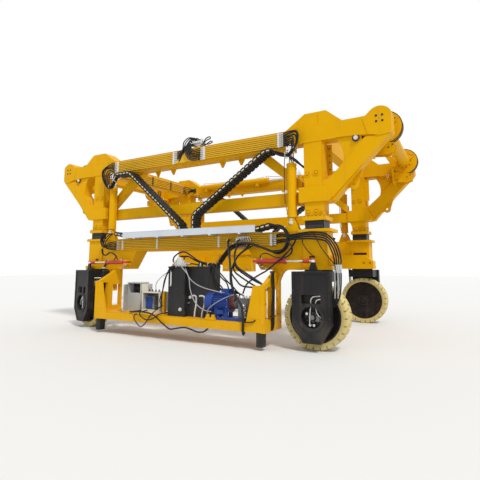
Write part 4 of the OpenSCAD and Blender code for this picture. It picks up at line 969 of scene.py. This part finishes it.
# Forks
# Black forks under the leg shoes. Each has a wide plate with raised borders, a hub hole and a window
# for its pipes, and a lug on its head that the steering rod pushes. Hoses go down beside it to the hub.
satin_black = coat("black_satin", (0.013, 0.013, 0.014), 0.45, dust=0.16, blotch=0.3, runs=0.15, worn=0.4,
                   bare=(0.10, 0.09, 0.08, 1), sheen=0.22)
hub_grey = coat("hub_grey", (0.17, 0.175, 0.18), 0.5, dust=0.3, worn=0.3)
for corner, place in corners.items():
    body = "fork_" + corner
    paint_node(body, satin_black)
    fork_bolts, fork_pipes, hub_parts, fork_welds = pieces(4, place)
    for x in (-0.348, 0.348):
        for z in (0.62, 0.86, 1.12, 1.40):
            fork_bolts.bolt((x, -0.5315, z), outward, 0.011)
    fork_bolts.bolt_ring((0, -0.535, wheel_r), outward, 0.2275, 12, 0.009)
    for x in (-0.12, -0.07, 0.07, 0.12):
        fork_bolts.bolt((x, -0.365, 1.469), upward, 0.012)
    for x in (-0.30, -0.10, 0.10, 0.30):
        fork_bolts.bolt((x, 0.20, 1.469), upward, 0.013)
    for x, y, z in ((0.31, -0.5205, 1.424), (0.33, -0.363, 1.28), (0.15, -0.349, 1.471)):
        fork_welds.weld((-x, y, z), (x, y, z))
    for x in (-0.324, 0.324):
        fork_welds.weld((x, -0.5205, 0.52), (x, -0.5205, 1.42))
    if corner == "near_left":
        fork_pipes.hose((-0.02, -0.50, 0.85), (-0.03, -0.475, 0.93), (0.02, -0.47, 1.00),
                        (0.04, -0.44, 1.02), radius=0.013)
    else:
        fork_pipes.hose((-0.02, -0.455, 0.88), (-0.015, -0.46, 0.95), (0.03, -0.465, 1.00),
                        (0.10, -0.46, 1.02), (0.18, -0.455, 1.025), radius=0.013)
        fork_pipes.hose((0.07, -0.455, 0.88), (0.09, -0.46, 0.93), (0.13, -0.46, 0.955),
                        (0.18, -0.455, 0.96), radius=0.012)
        union_nut(fork_pipes, (0.10, -0.46, 1.02), endward, 0.015)
    fork_pipes.hose((-0.02, -0.47, 0.815), (-0.025, -0.485, 0.75), (-0.035, -0.487, 0.62),
                    (-0.04, -0.485, 0.50), radius=0.011)
    fork_pipes.hose((0.07, -0.44, 0.812), (0.09, -0.46, 0.72), (0.13, -0.46, 0.66), (0.165, -0.45, 0.63),
                    radius=0.011)
    for x, z in ((-0.04, 0.485), (0.035, 0.485), (-0.10, 0.69)):
        fork_pipes.turned((x, -0.42, z), outward, [(0, 0.020), (0.045, 0.020), (0.05, 0.014)], 12)
        fork_pipes.drum((x, -0.455, z), outward, 0.026, 0.016)
    hub_parts.turned((0, -0.459, wheel_r), outward,
                     [(0, 0.046), (0.008, 0.046), (0.014, 0.038), (0.014, 0.020), (0.022, 0.018)], 24)
    hub_parts.bolt_ring((0, -0.4145, wheel_r), outward, 0.076, 8, 0.010)
    hub_parts.bolt_ring((0, -0.3665, wheel_r), outward, 0.150, 12, 0.009)
    hub_parts.block((0.075, -0.455, 0.55), (0.165, -0.37, 0.655))
    hub_parts.turned((0.12, -0.453, 0.60), outward, [(0, 0.035), (0.02, 0.035), (0.026, 0.028)], 20)
    fork_bolts.finish(corner + "_fork_bolts", body, dark, "valve_steel")
    fork_welds.finish(corner + "_fork_welds", body, satin_black, "black_paint")
    fork_pipes.finish(corner + "_fork_pipes", body, zinc, "valve_steel")
    hub_parts.finish(corner + "_hub_motor", body, hub_grey, "pump_iron", bevel=0.003)

    # The hoses hang from the shoe down beside the fork.
    shoe = shoes[corner]
    drop, drop_ends = pieces(2, shoe)
    if corner == "near_right":
        for k in range(4):
            y, x = -0.268 - 0.022 * k, 3.605 - 0.038 * k
            z = lower_levels[(5, 4, 2, 1)[k]]
            drop.hose((2.28, -0.224, z), (2.40, -0.25, z + 0.012), (2.54, y, 0.4 * z + 1.31 - 0.02 * k),
                      (2.71, y, 2.205 - 0.035 * k), (3.05, y, 2.235 - 0.045 * k),
                      (3.34, y - 0.01, 2.18 - 0.045 * k), (3.53 - 0.03 * k, y - 0.02, 1.98 - 0.03 * k),
                      (x, y - 0.03, 1.75), (x, -0.30, 1.60), (x, -0.30, 1.50), (x - 0.005, -0.315, 1.25),
                      (x - 0.02, -0.35, 1.05), (x - 0.06, -0.37, 0.92), (x - 0.14, -0.35, 0.82),
                      (3.34, -0.358, 0.76), radius=0.0165)
            drop_ends.rod((x, -0.30, 1.44), (x, -0.30, 1.60), 0.0185, 12)
            drop_ends.drum((x, -0.30, 1.51), upward, 0.024, 0.035)
        for x, y in ((3.555, -0.345), (3.50, -0.35)):
            drop_ends.tube([(x, y, 1.50), (x, y - 0.01, 1.20), (x - 0.005, y - 0.02, 0.98)], 0.013, 8)
        drop.hose((3.10, -0.30, 2.20), (3.15, -0.30, 2.10), (3.25, -0.31, 1.91), (3.38, -0.32, 1.74),
                  (3.49, -0.325, 1.60), (3.50, -0.33, 1.50), radius=0.009)
    else:
        for k in range(2):
            x = leg_x - 0.46 + 0.04 * k
            drop.hose((x, -0.20, 1.75), (x, -0.235, 1.64), (x, -0.29, 1.55), (x, -0.33, 1.40),
                      (x + 0.005, -0.345, 1.15), (x + 0.02, -0.35, 0.95), (x + 0.08, -0.355, 0.82),
                      (x + 0.16, -0.358, 0.76), radius=0.0145)
            drop_ends.drum((x, -0.30, 1.515), upward, 0.020, 0.035)
    span = [shoe @ Vector((leg_x + 0.35, -0.28, z)) for z in (1.62, 1.30)]
    bodies = ("lower_" + corner.split("_")[0], body)
    drop.finish(corner + "_fork_hoses", bodies, black_hose, "chain_plastic", blend=span)
    drop_ends.finish(corner + "_fork_hose_ends", bodies, zinc, "valve_steel", blend=span)

# Rims
# Steel rims in dark brown, pressed into the solid tyres.
# Each has a ribbed dish and a bolted hub.
rim_brown = coat("rim_enamel", (0.012, 0.008, 0.007), 0.5, dust=0.14, worn=0.4, sheen=0.2,
                 bare=(0.13, 0.10, 0.08, 1), dusty=(0.20, 0.16, 0.11, 1))
for corner, place in corners.items():
    body = "wheel_" + corner
    paint_node("rim_" + corner, rim_brown)
    axle = place @ Matrix.Translation((0, -wheel_offset, wheel_r))
    rim_rings, rim_bolts = pieces(2, axle)
    for out in (-1, 1):
        rim_rings.ring((0, out * 0.163, 0), (0, out, 0), 0.502, 0.474, 0.006, 72)
    rim_rings.ring((0, 0.1625, 0), (0, 1, 0), 0.148, 0.100, 0.018, 48)
    rim_rings.turned((0, 0.160, 0), (0, 1, 0), [(0, 0.085), (0.03, 0.085), (0.042, 0.070)], 40)
    rim_rings.ring((0, 0.142, 0), (0, 1, 0), 0.40, 0.385, 0.006, 60)
    rim_bolts.bolt_ring((0, 0.180, 0), (0, 1, 0), 0.122, 10, 0.011)
    rim_bolts.bolt_ring((0, 0.142, 0), (0, 1, 0), 0.435, 16, 0.011, 0.196)
    rim_bolts.bolt_ring((0, -0.0205, 0), outward, 0.26, 12, 0.013)
    rim_rings.finish(corner + "_rim_rings", body, rim_brown, "rim_paint")
    rim_bolts.finish(corner + "_rim_bolts", body, dark, "valve_steel")

# Sill
# Low deck beam on the near side that carries the power pack, hung between two end walls with windows.
# Plates are seam-welded across its face, and its square feet are black.
paint_node("sill", yellow)
paint_node("sill_feet", satin_black)
sill_welds, sill_parts, sill_bolts, sleeves = pieces(4, near)
for x in (-1.86, -1.43, -0.98, -0.45, 0.02, 0.50, 0.93, 1.38, 1.80):
    sill_welds.weld((x, -0.861, 0.335), (x, -0.861, 0.492), radius=0.005)
for x in (-1.125, -0.375, 0.375, 1.125):
    sill_welds.weld((x, -0.835, 0.501), (x, -0.07, 0.501), radius=0.004)
for y, z in ((-0.861, 0.334), (-0.841, 0.498)):
    sill_welds.weld((-2.20, y, z), (2.20, y, z), radius=0.004)
for sign in (-1, 1):
    sill_welds.weld((sign * 1.90, -0.8605, 0.50), (sign * 2.05, -0.8605, 1.19), radius=0.004)
    sill_welds.weld((sign * 2.2, -0.8605, 0.50), (sign * 2.2, -0.8605, 1.19), radius=0.005)
    sill_welds.weld((sign * 2.2, -0.83, 0.503), (sign * 2.2, -0.07, 0.503), radius=0.007)
    sill_welds.weld((sign * 2.198, -0.82, 1.19), (sign * 2.198, -0.70, 1.235), radius=0.006)
    for y, z in ((-0.80, 0.60), (-0.80, 0.86), (-0.80, 1.12), (-0.43, 0.46), (-0.43, 1.20), (-0.12, 0.46),
                 (-0.12, 1.20)):
        sill_bolts.bolt((sign * 2.2905, y, z), (sign, 0, 0), 0.012)
    for y in (-0.20, -0.10):
        sill_bolts.bolt((sign * 2.2905, y, 1.44), (sign, 0, 0), 0.014)
    sill_parts.block((sign * 1.99, -0.864, 0.58), (sign * 2.20, -0.8595, 0.66))
    for y1, y2, z1, z2 in ((-0.76, -0.53, 0.55, 1.17), (-0.38, -0.12, 0.59, 1.11)):
        window = ((y1, z1), (y2, z1), (y2, z2), (y1, z2), (y1, z1))
        sill_welds.weld(*[(sign * 2.291, y, z) for y, z in window], radius=0.004)
    for k in range(3):
        y = -0.50 - 0.035 * k
        sleeves.hose((sign * 2.325, y, 1.46), (sign * 2.32, y, 1.36),
                     (sign * (2.335 + 0.008 * k), y - 0.01, 1.10), (sign * 2.33, y - 0.03, 0.80),
                     (sign * 2.325, y - 0.02, 0.60), (sign * 2.315, y, 0.46), (sign * 2.29, y, 0.36),
                     (sign * 2.21, y, 0.315), (sign * 2.10, y, 0.316), radius=0.019)
    sill_bolts.block((sign * 2.291, -0.60, 1.44), (sign * 2.35, -0.47, 1.475))
    sill_bolts.block((sign * 2.291, -0.62, 0.60), (sign * 2.35, -0.48, 0.625))
sill_parts.block((0.95, -0.86, 0.4995), (1.18, -0.795, 0.545))
for x in (0.97, 1.10):
    sill_parts.block((x, -0.85, 0.544), (x + 0.06, -0.80, 0.60))
sill_welds.finish("sill_welds", "lower_near", yellow, "yellow_paint")
sill_parts.finish("sill_plates", "lower_near", yellow, "yellow_paint", bevel=0.003)
sill_bolts.finish("sill_bolts", "lower_near", dark, "valve_steel")
sleeves.finish("sill_end_hoses", "lower_near", black_hose, "chain_plastic")

# Oil tank
# Welded sheet tank in two steps, charcoal, with a sight glass, filler caps, drain pipes
# and a filter on its top.
charcoal = coat("tank_charcoal", (0.015, 0.0155, 0.017), 0.42, dust=0.10, blotch=0.3, runs=0.12,
                worn=0.25, sheen=0.25)
white_plastic = coat("white_plastic", (0.68, 0.67, 0.62), 0.45, dust=0.25, worn=0.0)
paint_node("oil_tank", charcoal)
paint_node("filter_block", white_plastic)
tank_parts, tank_white, tank_silver, tank_bolts = pieces(4, near)
for x, y, x2 in ((-0.118, -0.748, 0.353), (0.35, -0.628, 0.908)):
    tank_parts.block((x, y, 1.535), (x2, -0.195, 1.566))
for x in (-0.085, 0.322):
    tank_parts.block((x - 0.018, -0.746, 0.52), (x + 0.018, -0.7395, 1.535))
tank_parts.block((-0.067, -0.744, 0.58), (0.304, -0.7395, 1.08))
for x in (0.467, 0.770):
    tank_parts.turned((x, -0.33, 1.605), upward, [(0, 0.058), (0.03, 0.058), (0.04, 0.05)], 28)
    tank_bolts.bolt_ring((x, -0.33, 1.566), upward, 0.072, 6, 0.008)
for x in (-0.05, 0.10, 0.29):
    tank_bolts.bolt((x, -0.70, 1.566), upward, 0.010)
for x in (-0.045, 0.285):
    for z in (0.62, 0.83, 1.04):
        tank_bolts.bolt((x, -0.744, z), outward, 0.008)
tank_white.block((-0.052, -0.752, 1.16), (-0.022, -0.7395, 1.45))
for z in (1.15, 1.46):
    tank_silver.drum((-0.037, -0.7395, z), outward, 0.017, 0.018)
for x, y, z in ((0.40, -0.62, 0.905), (0.235, -0.7395, 0.65)):
    tank_silver.turned((x, y, z), outward,
                       [(0, 0.040), (0.012, 0.040), (0.018, 0.030), (0.034, 0.030), (0.038, 0.022)], 24)
tank_silver.drum((0.38, -0.62, 0.79), outward, 0.022, 0.03)
for x, x2, x3 in ((0.52, 0.605, 0.565), (0.70, 0.815, 0.755)):
    tank_white.hose((x, -0.625, 0.945), (x + 0.02, -0.675, 0.95), (x2 - 0.02, -0.68, 0.945),
                    (x2, -0.68, 0.90), (x2 - 0.005, -0.68, 0.76), (x3, -0.675, 0.60),
                    (x3 - 0.005, -0.67, 0.505), radius=0.016)
    union_nut(tank_silver, (x, -0.622, 0.945), outward, 0.016)
    tank_silver.drum((x3 - 0.004, -0.67, 0.515), upward, 0.026, 0.022)
tank_silver.ring((0, -0.49, 1.601), upward, 0.0855, 0.0695, 0.03, 36)
tank_silver.turned((-0.115, -0.49, 1.665), endward,
                   [(0, 0.030), (0.018, 0.030), (0.018, 0.024), (0.06, 0.024)], 24)
tank_silver.ring((-0.135, -0.49, 1.665), endward, 0.036, 0.018, 0.022, 28)
tank_silver.turned((0.30, -0.485, 1.625), (-1, 0, 0),
                   [(0, 0.024), (0.03, 0.024), (0.03, 0.018), (0.11, 0.018)], 16)
tank_white.turned((0, -0.49, 1.749), upward, [(0, 0.052), (0.012, 0.052), (0.020, 0.040)], 28)
tank_silver.turned((0.11, -0.49, 1.65), upward, [(0, 0.022), (0.055, 0.022), (0.06, 0.016)], 6)
tank_parts.finish("tank_panels", "lower_near", charcoal, "black_paint", bevel=0.003)
tank_white.finish("tank_white_parts", "lower_near", white_plastic, "cabinet_grey", bevel=0.002)
tank_silver.finish("tank_fittings", "lower_near", zinc, "valve_steel")
tank_bolts.finish("tank_bolts", "lower_near", dark, "valve_steel")

# Motor and pump
# Blue electric motor with cooling fins and a fan cowl. A dark red coupling housing joins it
# to the cast-iron pump, and beyond the pump stand the valve block and its solenoids.
motor_blue = coat("motor_blue", (0.012, 0.050, 0.27), 0.42, dust=0.10, sheen=0.3, blotch=0.25, worn=0.35,
                  bare=(0.20, 0.20, 0.20, 1))
oxide_red = coat("oxide_red", (0.115, 0.012, 0.010), 0.5, dust=0.3, worn=0.3)
cast_iron = coat("cast_iron", (0.13, 0.135, 0.14), 0.5, dust=0.3, worn=0.4, metallic=0.35, grain=0.5)
paint_node("pump_motor", motor_blue)
paint_node("pump_block", cast_iron)
motor_y, axis_z = -0.64, 0.84
motor_parts, coupling, pump_parts, valves = pieces(4, near)
motor_parts.ring((0.912, motor_y, axis_z), (-1, 0, 0), 0.186, 0.165, 0.012, 44)
for r in (0.145, 0.115, 0.085, 0.055):
    motor_parts.ring((0.9155, motor_y, axis_z), (-1, 0, 0), r + 0.006, r - 0.006, 0.008, 36)
for a in (0.3, 1.35, 2.4, 3.44, 4.49, 5.54):
    motor_parts.tube([(0.911, motor_y + r * math.cos(a), axis_z + r * math.sin(a))
                      for r in (0.04, 0.10, 0.168)], 0.006, 6)
motor_parts.ring((1.06, motor_y, axis_z), endward, 0.1875, 0.183, 0.02, 44)
motor_parts.block((1.235, -0.718, 1.098), (1.425, -0.562, 1.112))
motor_parts.block((1.20, -0.80, 0.62), (1.34, -0.788, 0.70))
motor_parts.ring((1.16, motor_y, 1.012), endward, 0.032, 0.018, 0.014, 24)
for x in (1.10, 1.19, 1.31, 1.40):
    valves.bolt((x, -0.745, 0.561), upward, 0.012)
for x in (1.25, 1.41):
    for y in (-0.70, -0.58):
        valves.bolt((x, y, 1.112), upward, 0.007)
valves.bolt_ring((1.4385, motor_y, axis_z), (-1, 0, 0), 0.182, 8, 0.011, 0.4)
coupling.ring((1.466, motor_y, axis_z), endward, 0.1505, 0.120, 0.020, 44)
coupling.ring((1.487, motor_y, axis_z), endward, 0.1165, 0.1145, 0.117, 44)
coupling.block((1.50, -0.67, 0.725), (1.58, -0.61, 0.73))
for x in (1.61, 1.655):
    pump_parts.ring((x, motor_y, axis_z), endward, 0.096, 0.084, 0.025, 36)
pump_parts.turned((1.60, -0.715, 0.86), outward,
                  [(0, 0.040), (0.03, 0.040), (0.03, 0.030), (0.065, 0.030)], 24)
pump_parts.block((1.655, -0.738, 0.565), (1.775, -0.7295, 0.80))
pump_parts.block((1.70, -0.70, 0.899), (1.86, -0.54, 0.935))
for z in (0.62, 0.71, 0.80):
    valves.turned((1.81, -0.789, z), outward, [(0, 0.026), (0.030, 0.026), (0.036, 0.020)], 20)
    valves.drum((1.81, -0.824, z), outward, 0.014, 0.016)
    valves.block((1.776, -0.770, z - 0.036), (1.844, -0.735, z + 0.036))
for x, y, z in ((1.72, -0.62, 0.935), (1.80, -0.65, 0.935), (1.84, -0.58, 0.935), (1.62, -0.62, 0.93)):
    valves.turned((x, y, z - 0.005), upward,
                  [(0, 0.026), (0.025, 0.026), (0.025, 0.019), (0.055, 0.019)], 16)
for y in (-0.67, -0.57):
    for z in (0.60, 0.69, 0.78, 0.86):
        valves.bolt((1.8805, y, z), endward, 0.010)
for z in (0.66, 0.77):
    union_nut(valves, (1.882, -0.60, z), endward, 0.017)
motor_parts.finish("motor_parts", "lower_near", motor_blue, "blue_paint", bevel=0.002)
coupling.finish("motor_coupling", "lower_near", oxide_red, "red_paint")
pump_parts.finish("pump_parts", "lower_near", cast_iron, "pump_iron", bevel=0.003)
valves.finish("pump_valves", "lower_near", zinc, "valve_steel")

# Control cabinet
# Sheet-steel cabinet with its door open on a hinge barrel. Rows of contactors and terminals stand
# in the upper part, the lower part is closed, and a smaller box stands at its side.
cabinet_grey = coat("cabinet_grey", (0.50, 0.51, 0.50), 0.42, dust=0.3, blotch=0.15, worn=0.15,
                    bare=(0.2, 0.2, 0.2, 1))
cream_white = coat("cream_white", (0.72, 0.68, 0.54), 0.45, dust=0.2, worn=0.1)
for name in ("control_cabinet", "cabinet_door", "electrical_box"):
    paint_node(name, cabinet_grey)
covers, side_covers, devices, cabinet_bits = pieces(4, near)
covers.block((-1.61, -0.475, 1.168), (-1.17, -0.17, 1.182))
side_covers.block((-1.175, -0.432, 0.975), (-0.985, -0.419, 1.155))
for x in (-1.165, -0.995):
    for z in (0.985, 1.145):
        cabinet_bits.bolt((x, -0.432, z), outward, 0.005)
for z in (1.075, 0.975):
    devices.block((-1.575, -0.215, z), (-1.205, -0.195, z + 0.025))
for i in range(7):
    x = -1.565 + 0.052 * i
    devices.block((x, -0.275, 1.045), (x + 0.044, -0.20, 1.13))
    if i != 3:
        devices.block((x, -0.262, 0.945), (x + 0.040, -0.20, 1.025))
    devices.block((x + 0.012, -0.287, 1.075), (x + 0.030, -0.274, 1.10))
for i in range(6):
    x = -1.545 + 0.055 * i
    devices.hose((x, -0.262, 1.13), (x + 0.01, -0.30, 1.145), (x + 0.03, -0.33, 1.10),
                 (x + 0.02, -0.32, 1.0), (x, -0.29, 0.935), radius=0.005, steps=5)
hinge_x, hinge_y, door_turn = -1.593, -0.4673, math.radians(-58)
leaf = near @ Matrix.Translation((hinge_x, hinge_y, 0)) @ Matrix.Rotation(door_turn, 4, "Z")
door_trim, door_bits = pieces(2, leaf)
door_trim.block((0.03, 0.006, 0.95), (0.37, 0.0125, 1.12))
door_trim.block((0.02, -0.0175, 0.56), (0.39, -0.0105, 1.11))
for z in (0.62, 0.82, 1.05):
    door_bits.ring((0, 0, z - 0.03), upward, 0.0085, 0.0065, 0.06, 20)
door_bits.turned((0.37, -0.0165, 0.83), outward, [(0, 0.016), (0.012, 0.016), (0.016, 0.012)], 20)
door_bits.block((0.362, -0.036, 0.80), (0.378, -0.030, 0.88))
for z in (0.70, 0.96):
    cabinet_bits.block((-1.18, -0.30, z - 0.012), (-1.145, -0.27, z + 0.012))
covers.finish("cabinet_covers", "lower_near", cabinet_grey, "cabinet_grey", bevel=0.002)
side_covers.finish("side_box_lid", "lower_near", cream_white, "cabinet_grey", bevel=0.003)
devices.finish("cabinet_devices", "lower_near", dark, "black_paint", bevel=0.002)
cabinet_bits.finish("cabinet_screws", "lower_near", zinc, "valve_steel")
door_trim.finish("door_panels", "cabinet_door", cabinet_grey, "cabinet_grey", bevel=0.002)
door_bits.finish("door_handle", "cabinet_door", zinc, "valve_steel")

box_frame, box_blue, box_dark = pieces(3, near)
for x1, x2, z1, z2 in ((-1.012, -0.478, 0.495, 0.58), (-1.012, -0.478, 0.955, 0.985),
                       (-1.012, -0.983, 0.58, 0.955), (-0.507, -0.478, 0.58, 0.955)):
    box_frame.block((x1, -0.588, z1), (x2, -0.578, z2))
box_blue.block((-0.945, -0.51, 0.60), (-0.765, -0.489, 0.87))
for i in range(4):
    box_blue.block((-0.935 + 0.045 * i, -0.524, 0.79), (-0.90 + 0.045 * i, -0.509, 0.85))
box_dark.block((-0.70, -0.470, 0.66), (-0.54, -0.449, 0.89))
for i in range(5):
    box_dark.turned((-0.93 + 0.10 * i, -0.43, 0.985), upward,
                    [(0, 0.019), (0.02, 0.019), (0.028, 0.012), (0.05, 0.012)], 12)
    box_dark.block((-0.69 + 0.030 * i, -0.482, 0.80), (-0.668 + 0.030 * i, -0.469, 0.86))
for i in range(8):
    x = -0.93 + 0.052 * i
    box_dark.hose((x, -0.50, 0.62), (x + 0.01, -0.54, 0.60), (x + 0.02, -0.53, 0.585),
                  (x + 0.03, -0.45, 0.585), radius=0.006, steps=5)
    box_dark.hose((x, -0.51, 0.87), (x + 0.015, -0.535, 0.90), (x + 0.02, -0.50, 0.925),
                  (x + 0.03, -0.42, 0.93), radius=0.006, steps=5)
box_frame.finish("electrical_box_frame", "lower_near", cream_white, "cabinet_grey", bevel=0.003)
box_blue.finish("electrical_box_modules", "lower_near", motor_blue, "blue_paint", bevel=0.002)
box_dark.finish("electrical_box_glands", "lower_near", dark, "black_paint", bevel=0.002)

# Power-pack hoses
# Rubber hoses and grey cables between the tank, motor, pump, boxes and the beam above.
# All end in unions or glands.
grey_cable = coat("grey_cable", (0.33, 0.34, 0.35), 0.5, dust=0.2, worn=0.0)
pack_hoses, pack_cables, pack_ends = pieces(3, near)
for k in range(3):
    pack_hoses.hose((0.70 + 0.06 * k, -0.30, 1.60), (0.72 + 0.05 * k, -0.38, 1.615),
                    (0.76 + 0.04 * k, -0.47, 1.60), (0.86 + 0.03 * k, -0.52, 1.55),
                    (0.93 + 0.02 * k, -0.55, 1.42), (0.96 + 0.03 * k, -0.56, 1.25),
                    (1.02 + 0.05 * k, -0.53, 1.10 + 0.03 * k), (1.20, -0.50, 1.07),
                    (1.46, -0.52, 1.06 - 0.02 * k), (1.60, -0.58, 1.02), (1.62, -0.62, 0.98), radius=0.015)
pack_routes = (
    (0.017, *level(-0.49, (-0.145, 1.665), (-0.19, 1.68), (-0.17, 1.77), (-0.06, 1.85), (0.07, 1.89),
                   (0.19, 1.87), (0.30, 1.81), (0.51, 1.69), (0.66, -0.45, 1.64), (0.74, -0.40, 1.62),
                   (0.80, -0.36, 1.57))),
    (0.015, *level(-0.48, (0.11, 1.70), (0.13, 1.78), (0.22, 1.79), (0.37, 1.72), (0.55, 1.65),
                   (0.68, -0.44, 1.60), (0.72, -0.42, 1.565))),
    (0.014, *level(-0.485, (0.30, 1.625), (0.38, 1.62), (0.50, -0.49, 1.60), (0.58, -0.50, 1.565))),
    (0.018, (1.30, -0.258, 2.05), (1.31, -0.32, 2.03), (1.34, -0.52, 1.88), (1.35, -0.54, 1.66),
     (1.37, -0.54, 1.47), (1.40, -0.55, 1.26), (1.46, -0.58, 1.08), (1.56, -0.66, 0.98),
     (1.60, -0.74, 0.92), (1.60, -0.785, 0.862)),
    (0.017, (1.42, -0.258, 2.05), (1.43, -0.33, 2.02), (1.455, -0.52, 1.86), (1.46, -0.54, 1.68),
     (1.51, -0.54, 1.53), (1.72, -0.54, 1.39), (1.92, -0.53, 1.28), (2.06, -0.50, 1.22),
     (2.195, -0.48, 1.19)),
    (0.017, (1.70, -0.258, 2.05), (1.69, -0.34, 2.0), (1.62, -0.47, 1.88), (1.51, -0.49, 1.78),
     (1.43, -0.49, 1.63), (1.42, -0.49, 1.48), (1.57, -0.49, 1.36), (1.83, -0.48, 1.21),
     (2.02, -0.46, 1.12), (2.195, -0.45, 1.10)),
    (0.018, (1.40, -0.258, 2.13), (1.42, -0.34, 2.11), (1.54, -0.62, 1.92), (1.60, -0.78, 1.71),
     (1.67, -0.79, 1.56), (1.83, -0.78, 1.45), (2.02, -0.74, 1.33), (2.13, -0.70, 1.25),
     (2.195, -0.68, 1.20)),
    (0.017, (1.74, -0.258, 2.01), (1.73, -0.34, 1.97), (1.69, -0.60, 1.86), (1.58, -0.64, 1.75),
     (1.48, -0.64, 1.58), (1.45, -0.64, 1.43), (1.57, -0.64, 1.28), (1.69, -0.64, 1.18),
     (1.95, -0.60, 1.15), (2.195, -0.52, 1.14)),
    (0.014, (1.00, -0.40, 1.66), (1.07, -0.60, 1.62), (1.09, -0.64, 1.48), (1.21, -0.64, 1.33),
     (1.34, -0.66, 1.24), (1.38, -0.64, 1.112)),
    (0.014, (0.86, -0.40, 1.57), (0.95, -0.52, 1.56), (1.14, -0.56, 1.41), (1.30, -0.58, 1.27),
     (1.45, -0.58, 1.15), (1.58, -0.60, 1.04), (1.72, -0.62, 0.985)),
    (0.013, (0.10, -0.73, 1.58), (0.06, -0.775, 1.565), (-0.02, -0.79, 1.50), (-0.13, -0.79, 1.35),
     (-0.24, -0.77, 1.03), (-0.33, -0.70, 0.84), (-0.42, -0.58, 0.76), (-0.475, -0.50, 0.74)),
    (0.013, (0.02, -0.73, 1.58), (-0.03, -0.785, 1.54), (-0.14, -0.83, 1.28), (-0.20, -0.83, 1.00),
     (-0.31, -0.78, 0.82), (-0.40, -0.60, 0.70), (-0.475, -0.48, 0.66)),
    (0.012, (-0.88, -0.86, 0.505), (-0.915, -0.90, 0.50), (-0.93, -0.915, 0.42), (-0.81, -0.915, 0.29),
     (-0.71, -0.915, 0.245), (-0.60, -0.915, 0.32), (-0.46, -0.90, 0.50), (-0.38, -0.80, 0.62),
     (-0.43, -0.62, 0.66), (-0.476, -0.52, 0.64)),
    (0.013, (-0.84, -0.59, 0.56), (-0.84, -0.76, 0.55), (-0.80, -0.88, 0.52), (-0.71, -0.905, 0.45),
     (-0.56, -0.905, 0.40), (-0.38, -0.905, 0.44), (-0.25, -0.88, 0.53), (-0.16, -0.74, 0.56),
     (-0.112, -0.68, 0.58)),
    (0.016, (-1.15, -0.47, 0.53), (-1.15, -0.66, 0.53), (-1.13, -0.84, 0.535), (-0.90, -0.885, 0.555),
     (-0.67, -0.885, 0.56), (-0.39, -0.90, 0.52), (-0.11, -0.90, 0.35), (0.08, -0.895, 0.255),
     (0.24, -0.89, 0.275), (0.45, -0.885, 0.31), (0.62, -0.88, 0.285), (0.78, -0.86, 0.24),
     (0.90, -0.80, 0.25), (0.95, -0.74, 0.31), (0.95, -0.72, 0.34)),
    (0.012, (1.845, -0.89, 0.54), (1.87, -0.888, 0.51), (1.99, -0.885, 0.51), (2.08, -0.88, 0.535),
     (2.10, -0.862, 0.56)))
for radius, *route in pack_routes:
    pack_hoses.hose(*route, radius=radius)
pack_hoses.hose((1.16, -0.258, 2.13), (1.18, -0.33, 2.12), (1.33, -0.56, 1.90), (1.49, -0.78, 1.68),
                (1.56, -0.87, 1.45), (1.58, -0.89, 1.27), (1.64, -0.892, 1.09), (1.74, -0.892, 0.93),
                (1.83, -0.892, 0.79), (1.85, -0.890, 0.56), (1.845, -0.886, 0.36), (1.83, -0.84, 0.275),
                (1.80, -0.76, 0.28), (1.79, -0.72, 0.33), radius=0.023, steps=10)
cable_routes = (
    (0.010, (0.18, -0.70, 1.57), (0.22, -0.76, 1.59), (0.35, -0.84, 1.53), (0.49, -0.85, 1.40),
     (0.54, -0.85, 1.28), (0.56, -0.85, 1.12), (0.63, -0.85, 0.93), (0.72, -0.845, 0.80),
     (0.86, -0.83, 0.70), (0.97, -0.79, 0.66), (1.04, -0.76, 0.655)),
    (0.010, (0.28, -0.70, 1.57), (0.36, -0.74, 1.50), (0.50, -0.79, 1.32), (0.67, -0.79, 1.20),
     (0.86, -0.79, 1.13), (1.08, -0.78, 1.08), (1.26, -0.75, 1.045), (1.33, -0.712, 1.042)),
    (0.009, (1.64, -0.66, 0.95), (1.63, -0.74, 1.00), (1.55, -0.82, 1.00), (1.28, -0.85, 0.88),
     (1.06, -0.85, 0.74), (0.98, -0.82, 0.64), (1.02, -0.79, 0.575)),
    (0.009, (-0.73, -0.43, 1.03), (-0.72, -0.44, 1.16), (-0.58, -0.46, 1.30), (-0.36, -0.50, 1.42),
     (-0.17, -0.60, 1.48), (-0.118, -0.62, 1.50)),
    (0.009, (-0.985, -0.34, 1.06), (-0.93, -0.35, 1.05), (-0.92, -0.40, 1.08), (-0.93, -0.43, 1.03)))
for radius, *route in cable_routes:
    pack_cables.hose(*route, radius=radius)
pack_fittings = (
    (outward, (1.30, -0.262, 2.05), (1.42, -0.262, 2.05), (1.70, -0.262, 2.05), (1.16, -0.262, 2.13),
     (1.40, -0.262, 2.13), (1.74, -0.262, 2.01)),
    ((-1, 0, 0), (2.199, -0.48, 1.19), (2.199, -0.45, 1.10), (2.199, -0.68, 1.20), (2.199, -0.52, 1.14),
     (-0.112, -0.68, 0.58)),
    (endward, (-0.478, -0.50, 0.74), (-0.478, -0.48, 0.66), (-0.478, -0.52, 0.64)),
    (upward, (0.80, -0.36, 1.566), (0.72, -0.42, 1.566), (0.58, -0.50, 1.566)),
    ((0, -0.6, 1), (0.10, -0.735, 1.566), (0.02, -0.735, 1.566)))
for ahead, *spots in pack_fittings:
    for at in spots:
        union_nut(pack_ends, at, ahead, 0.016)
pack_hoses.finish("pack_hoses", "lower_near", black_hose, "chain_plastic")
pack_cables.finish("pack_cables", "lower_near", grey_cable, "cabinet_grey")
pack_ends.finish("pack_unions", "lower_near", zinc, "valve_steel")
